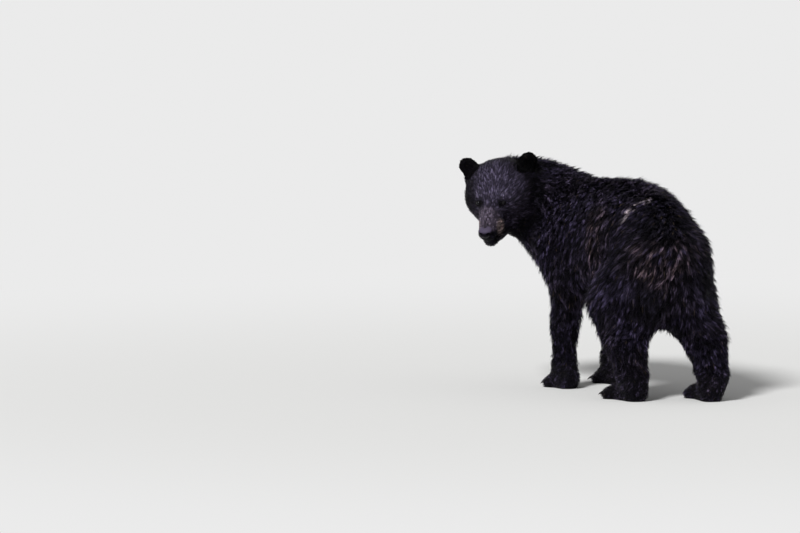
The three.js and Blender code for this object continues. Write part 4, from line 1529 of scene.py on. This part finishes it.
def fur_material(name):
    """The finish of the tufts, with the skin's marks and painted light at their roots."""
    gloss, tones = FURS[name]
    material, tree = new_material(name)
    root = node(tree, "ShaderNodeAttribute", {"attribute_name": "root"}).outputs["Vector"]
    if name == "ear_fur":
        # the far ear is painted lighter grey, painted light that stands in for the light it catches
        far_ear = blob(tree, root, middle("ear_right"), (EAR_BALL,) * 3, 0.2)
        pigment = blended(tree, far_ear, EAR_BLACK, PAINTED_LIGHT_EAR_GREY)
    else:
        pigment = node(tree, "ShaderNodeGroup", {"node_tree": markings_and_painted_light}, Place=root).outputs["Color"]
    shaded = node(tree, "ShaderNodeGroup", {"node_tree": shades}, Color=pigment)
    for tone, value in zip(TONES, tones):
        shaded.inputs[tone].default_value = value
    surfaced(tree, node(
        tree, "ShaderNodeBsdfPrincipled", Base_Color=shaded.outputs["Color"], Roughness=FUR_ROUGHNESS,
        Specular_IOR_Level=gloss, Specular_Tint=COOL_SHEEN,
    ))
    return material


furs = {name: fur_material(name) for name in FURS}
for name, piece in coats.items():
    piece.data.materials.append(furs[FUR_OF.get(name, "black_fur")])
    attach(piece, "root")
print(len(coats), "coat pieces have their fur")

# %% [markdown]
# ## Hide
# Under the tufts the skin shows only as dark gaps. It has the same marks and painted light, darker, and a
# fine bump in the place of the shortest hair, so that a gap never looks like bare plastic.

# %% The skin piece
HIDE_SHARE = 0.6  # how bright the hide is against its fur
HIDE_HAIR = 420.0
HIDE_BUMP = 0.0008

skin = new_piece("skin", skin_places, triangles)
skin.data.shade_smooth()
set_value(skin.data, "ear", ear_share[:, 0])
set_map(skin.data, unwrapped(skin_places, triangles))
material, tree = new_material("hide")
where = node(tree, "ShaderNodeTexCoord").outputs["Object"]
marked = node(tree, "ShaderNodeGroup", {"node_tree": markings_and_painted_light}, Place=where)
pigment = blended(tree, mesh_value(tree, "ear"), marked.outputs["Color"], EAR_BLACK)
dark = node(tree, "ShaderNodeVectorMath", {"operation": "SCALE"}, _0=pigment, Scale=HIDE_SHARE)
hair = node(tree, "ShaderNodeTexNoise", Vector=where, Scale=HIDE_HAIR, Detail=3.0)
bump = node(tree, "ShaderNodeBump", Strength=0.5, Distance=HIDE_BUMP, Height=hair.outputs["Fac"])
surfaced(tree, node(
    tree, "ShaderNodeBsdfPrincipled", Base_Color=dark.outputs[0], Roughness=0.6,
    Normal=bump.outputs[0], Specular_IOR_Level=0.08,
))
skin.data.materials.append(material)
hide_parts(*FLESH)
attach(skin, "root")
print("the skin replaces", len(FLESH), "solids")

# %% [markdown]
# ## The wet eye
# A bear's iris is so dark that the eye reads as black with one small light in it. That light is a true
# reflection of the lamp on a very smooth surface, and nothing is painted.

# %% Wet eye
IRIS_DARK = (0.0020, 0.0015, 0.0013, 1)
IRIS_LIGHT = (0.0060, 0.0040, 0.0032, 1)
IRIS_STREAKS = 900.0
PUPIL_BLACK = (0.001, 0.001, 0.001, 1)
PUPIL_EDGE = (0.23, 0.27)  # radians from the middle of the eye
RIM_BLACK = (0.002, 0.0016, 0.0014, 1)
RIM_EDGE = (0.50, 0.58)


def edge_at(tree, value, edge):
    """0 before an edge and 1 after it."""
    return node(tree, "ShaderNodeMapRange", Value=value, From_Min=edge[0], From_Max=edge[1]).outputs[0]


def wet_eye():
    """Dark brown iris, black pupil and a clear wet surface."""
    material, tree = new_material("wet_eye")
    polar = mesh_value(tree, "polar")
    where = node(tree, "ShaderNodeTexCoord").outputs["Object"]
    streaks = node(tree, "ShaderNodeTexNoise", Vector=where, Scale=IRIS_STREAKS, Detail=2.0)
    iris = blended(tree, streaks.outputs["Fac"], IRIS_DARK, IRIS_LIGHT)
    colour = blended(tree, edge_at(tree, polar, PUPIL_EDGE), PUPIL_BLACK, iris)
    colour = blended(tree, edge_at(tree, polar, RIM_EDGE), colour, RIM_BLACK)
    surfaced(tree, node(
        tree, "ShaderNodeBsdfPrincipled", Base_Color=colour, Roughness=0.05,
        Specular_IOR_Level=0.21, Specular_Tint=(0.86, 0.90, 1.0, 1),
    ))
    return material


print("the pupil ends", PUPIL_EDGE[0], "radians from the eye's middle")

# %% [markdown]
# ## Bare skin and horn
# Lids and nose pad are the same pebbled leather at different scales, so one group makes it and each
# material sets its own size, colours and roughness. A bump is enough for pebbles half a millimetre
# across. The claws are horn, with fine grain and a duller shine.

# %% Pebbled skin as a node group
BLOTCHES = 12.0  # pebbles across a blotch
ROUGHER = 0.12  # how much rougher the pale blotches are

pebbled, given, result = new_group(
    "pebbled_skin",
    {"Place": "Vector", "Scale": "Float", "Dark": "Color", "Light": "Color", "Roughness": "Float"},
    {"Color": "Color", "Height": "Float", "Roughness": "Float"},
)
pebbles = node(pebbled, "ShaderNodeTexVoronoi", Vector=given["Place"], Scale=given["Scale"])
wider = node(pebbled, "ShaderNodeMath", {"operation": "DIVIDE"}, _0=given["Scale"], _1=BLOTCHES)
blotch = patchy(pebbled, given["Place"], wider.outputs[0], 0.35, 0.65)
smooth = given["Roughness"]
rough = node(pebbled, "ShaderNodeMath", {"operation": "ADD"}, _0=smooth, _1=ROUGHER).outputs[0]
gloss = node(pebbled, "ShaderNodeMapRange", Value=blotch, To_Min=smooth, To_Max=rough)
pebbled.links.new(blended(pebbled, blotch, given["Dark"], given["Light"]), result["Color"])
pebbled.links.new(pebbles.outputs["Distance"], result["Height"])
pebbled.links.new(gloss.outputs[0], result["Roughness"])
print("a blotch is", BLOTCHES, "pebbles across")

# %% Leather and horn
LEATHER_TINT = (0.88, 0.85, 1.0, 1)


def leather(name, pebble_depth, painted_sheen_colour=None, **values):
    """Bare skin with creases, and a paler colour, a painted reflection, where the mesh carries one."""
    material, tree = new_material(name)
    where = node(tree, "ShaderNodeTexCoord").outputs["Object"]
    grain = node(tree, "ShaderNodeGroup", {"node_tree": pebbled}, Place=where, **values).outputs
    colour = grain["Color"]
    if painted_sheen_colour:
        colour = blended(tree, mesh_value(tree, "painted_sheen"), colour, painted_sheen_colour)
    bump = node(tree, "ShaderNodeBump", Strength=0.6, Distance=pebble_depth, Height=grain["Height"])
    surfaced(tree, node(
        tree, "ShaderNodeBsdfPrincipled", Base_Color=colour, Roughness=grain["Roughness"],
        Normal=bump.outputs[0], Specular_IOR_Level=0.05, Specular_Tint=LEATHER_TINT,
    ))
    return material


def horn():
    """Dark claw horn with fine grain."""
    material, tree = new_material("claw_horn")
    where = node(tree, "ShaderNodeTexCoord").outputs["Object"]
    grain = patchy(tree, where, 260.0, 0.4, 0.6)
    colour = blended(tree, grain, (0.006, 0.005, 0.005, 1), (0.022, 0.017, 0.014, 1))
    bump = node(tree, "ShaderNodeBump", Strength=0.3, Distance=0.0003, Height=grain)
    surfaced(tree, node(
        tree, "ShaderNodeBsdfPrincipled", Base_Color=colour, Roughness=0.34, Normal=bump.outputs[0],
    ))
    return material


eye_finish = wet_eye()
lid_skin = leather(
    "lid_skin", 0.0002, Scale=1500.0, Roughness=0.45,
    Dark=(0.002, 0.0018, 0.0025, 1), Light=(0.005, 0.004, 0.006, 1),
)
# the nose pad's paler top is a painted reflection of the light from above
pad_skin = leather(
    "nose_skin", 0.0004, (0.074, 0.060, 0.098, 1), Scale=900.0, Roughness=0.30,
    Dark=(0.003, 0.0026, 0.0036, 1), Light=(0.006, 0.005, 0.008, 1),
)
claw_horn = horn()
print("finishes:", [finish.name for finish in (eye_finish, lid_skin, pad_skin, claw_horn)])

# %% [markdown]
# ## The small pieces go on
# A model maker sets eyes, nose and claws in last. Each takes its material, hides the CAD solids it stands
# for and rides on the bear's one body. These steps could be typed out for each piece, but in one function
# none of them can be forgotten.

# %% Eyes, lids, nose pad and claws
def finished(piece, material, slot, *replaced):
    """Gives a piece its material and its body, and hides the CAD solids it replaces. The slot is not
    used.
    """
    piece.data.materials.append(material)
    if replaced:
        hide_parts(*replaced)
    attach(piece, "root")
    print(piece.name, len(piece.data.polygons), "faces")


for side in EYE_SIDES:
    finished(eyeball(side), eye_finish, "eye", f"eye_{side}")
    finished(eyelids(side), lid_skin, "muzzle_fur")
finished(nose_pad(), pad_skin, "nose_pad", "nose")
for paw in ("fore_left", "fore_right", "hind_left", "hind_right"):
    finished(claws(paw), claw_horn, "claw")
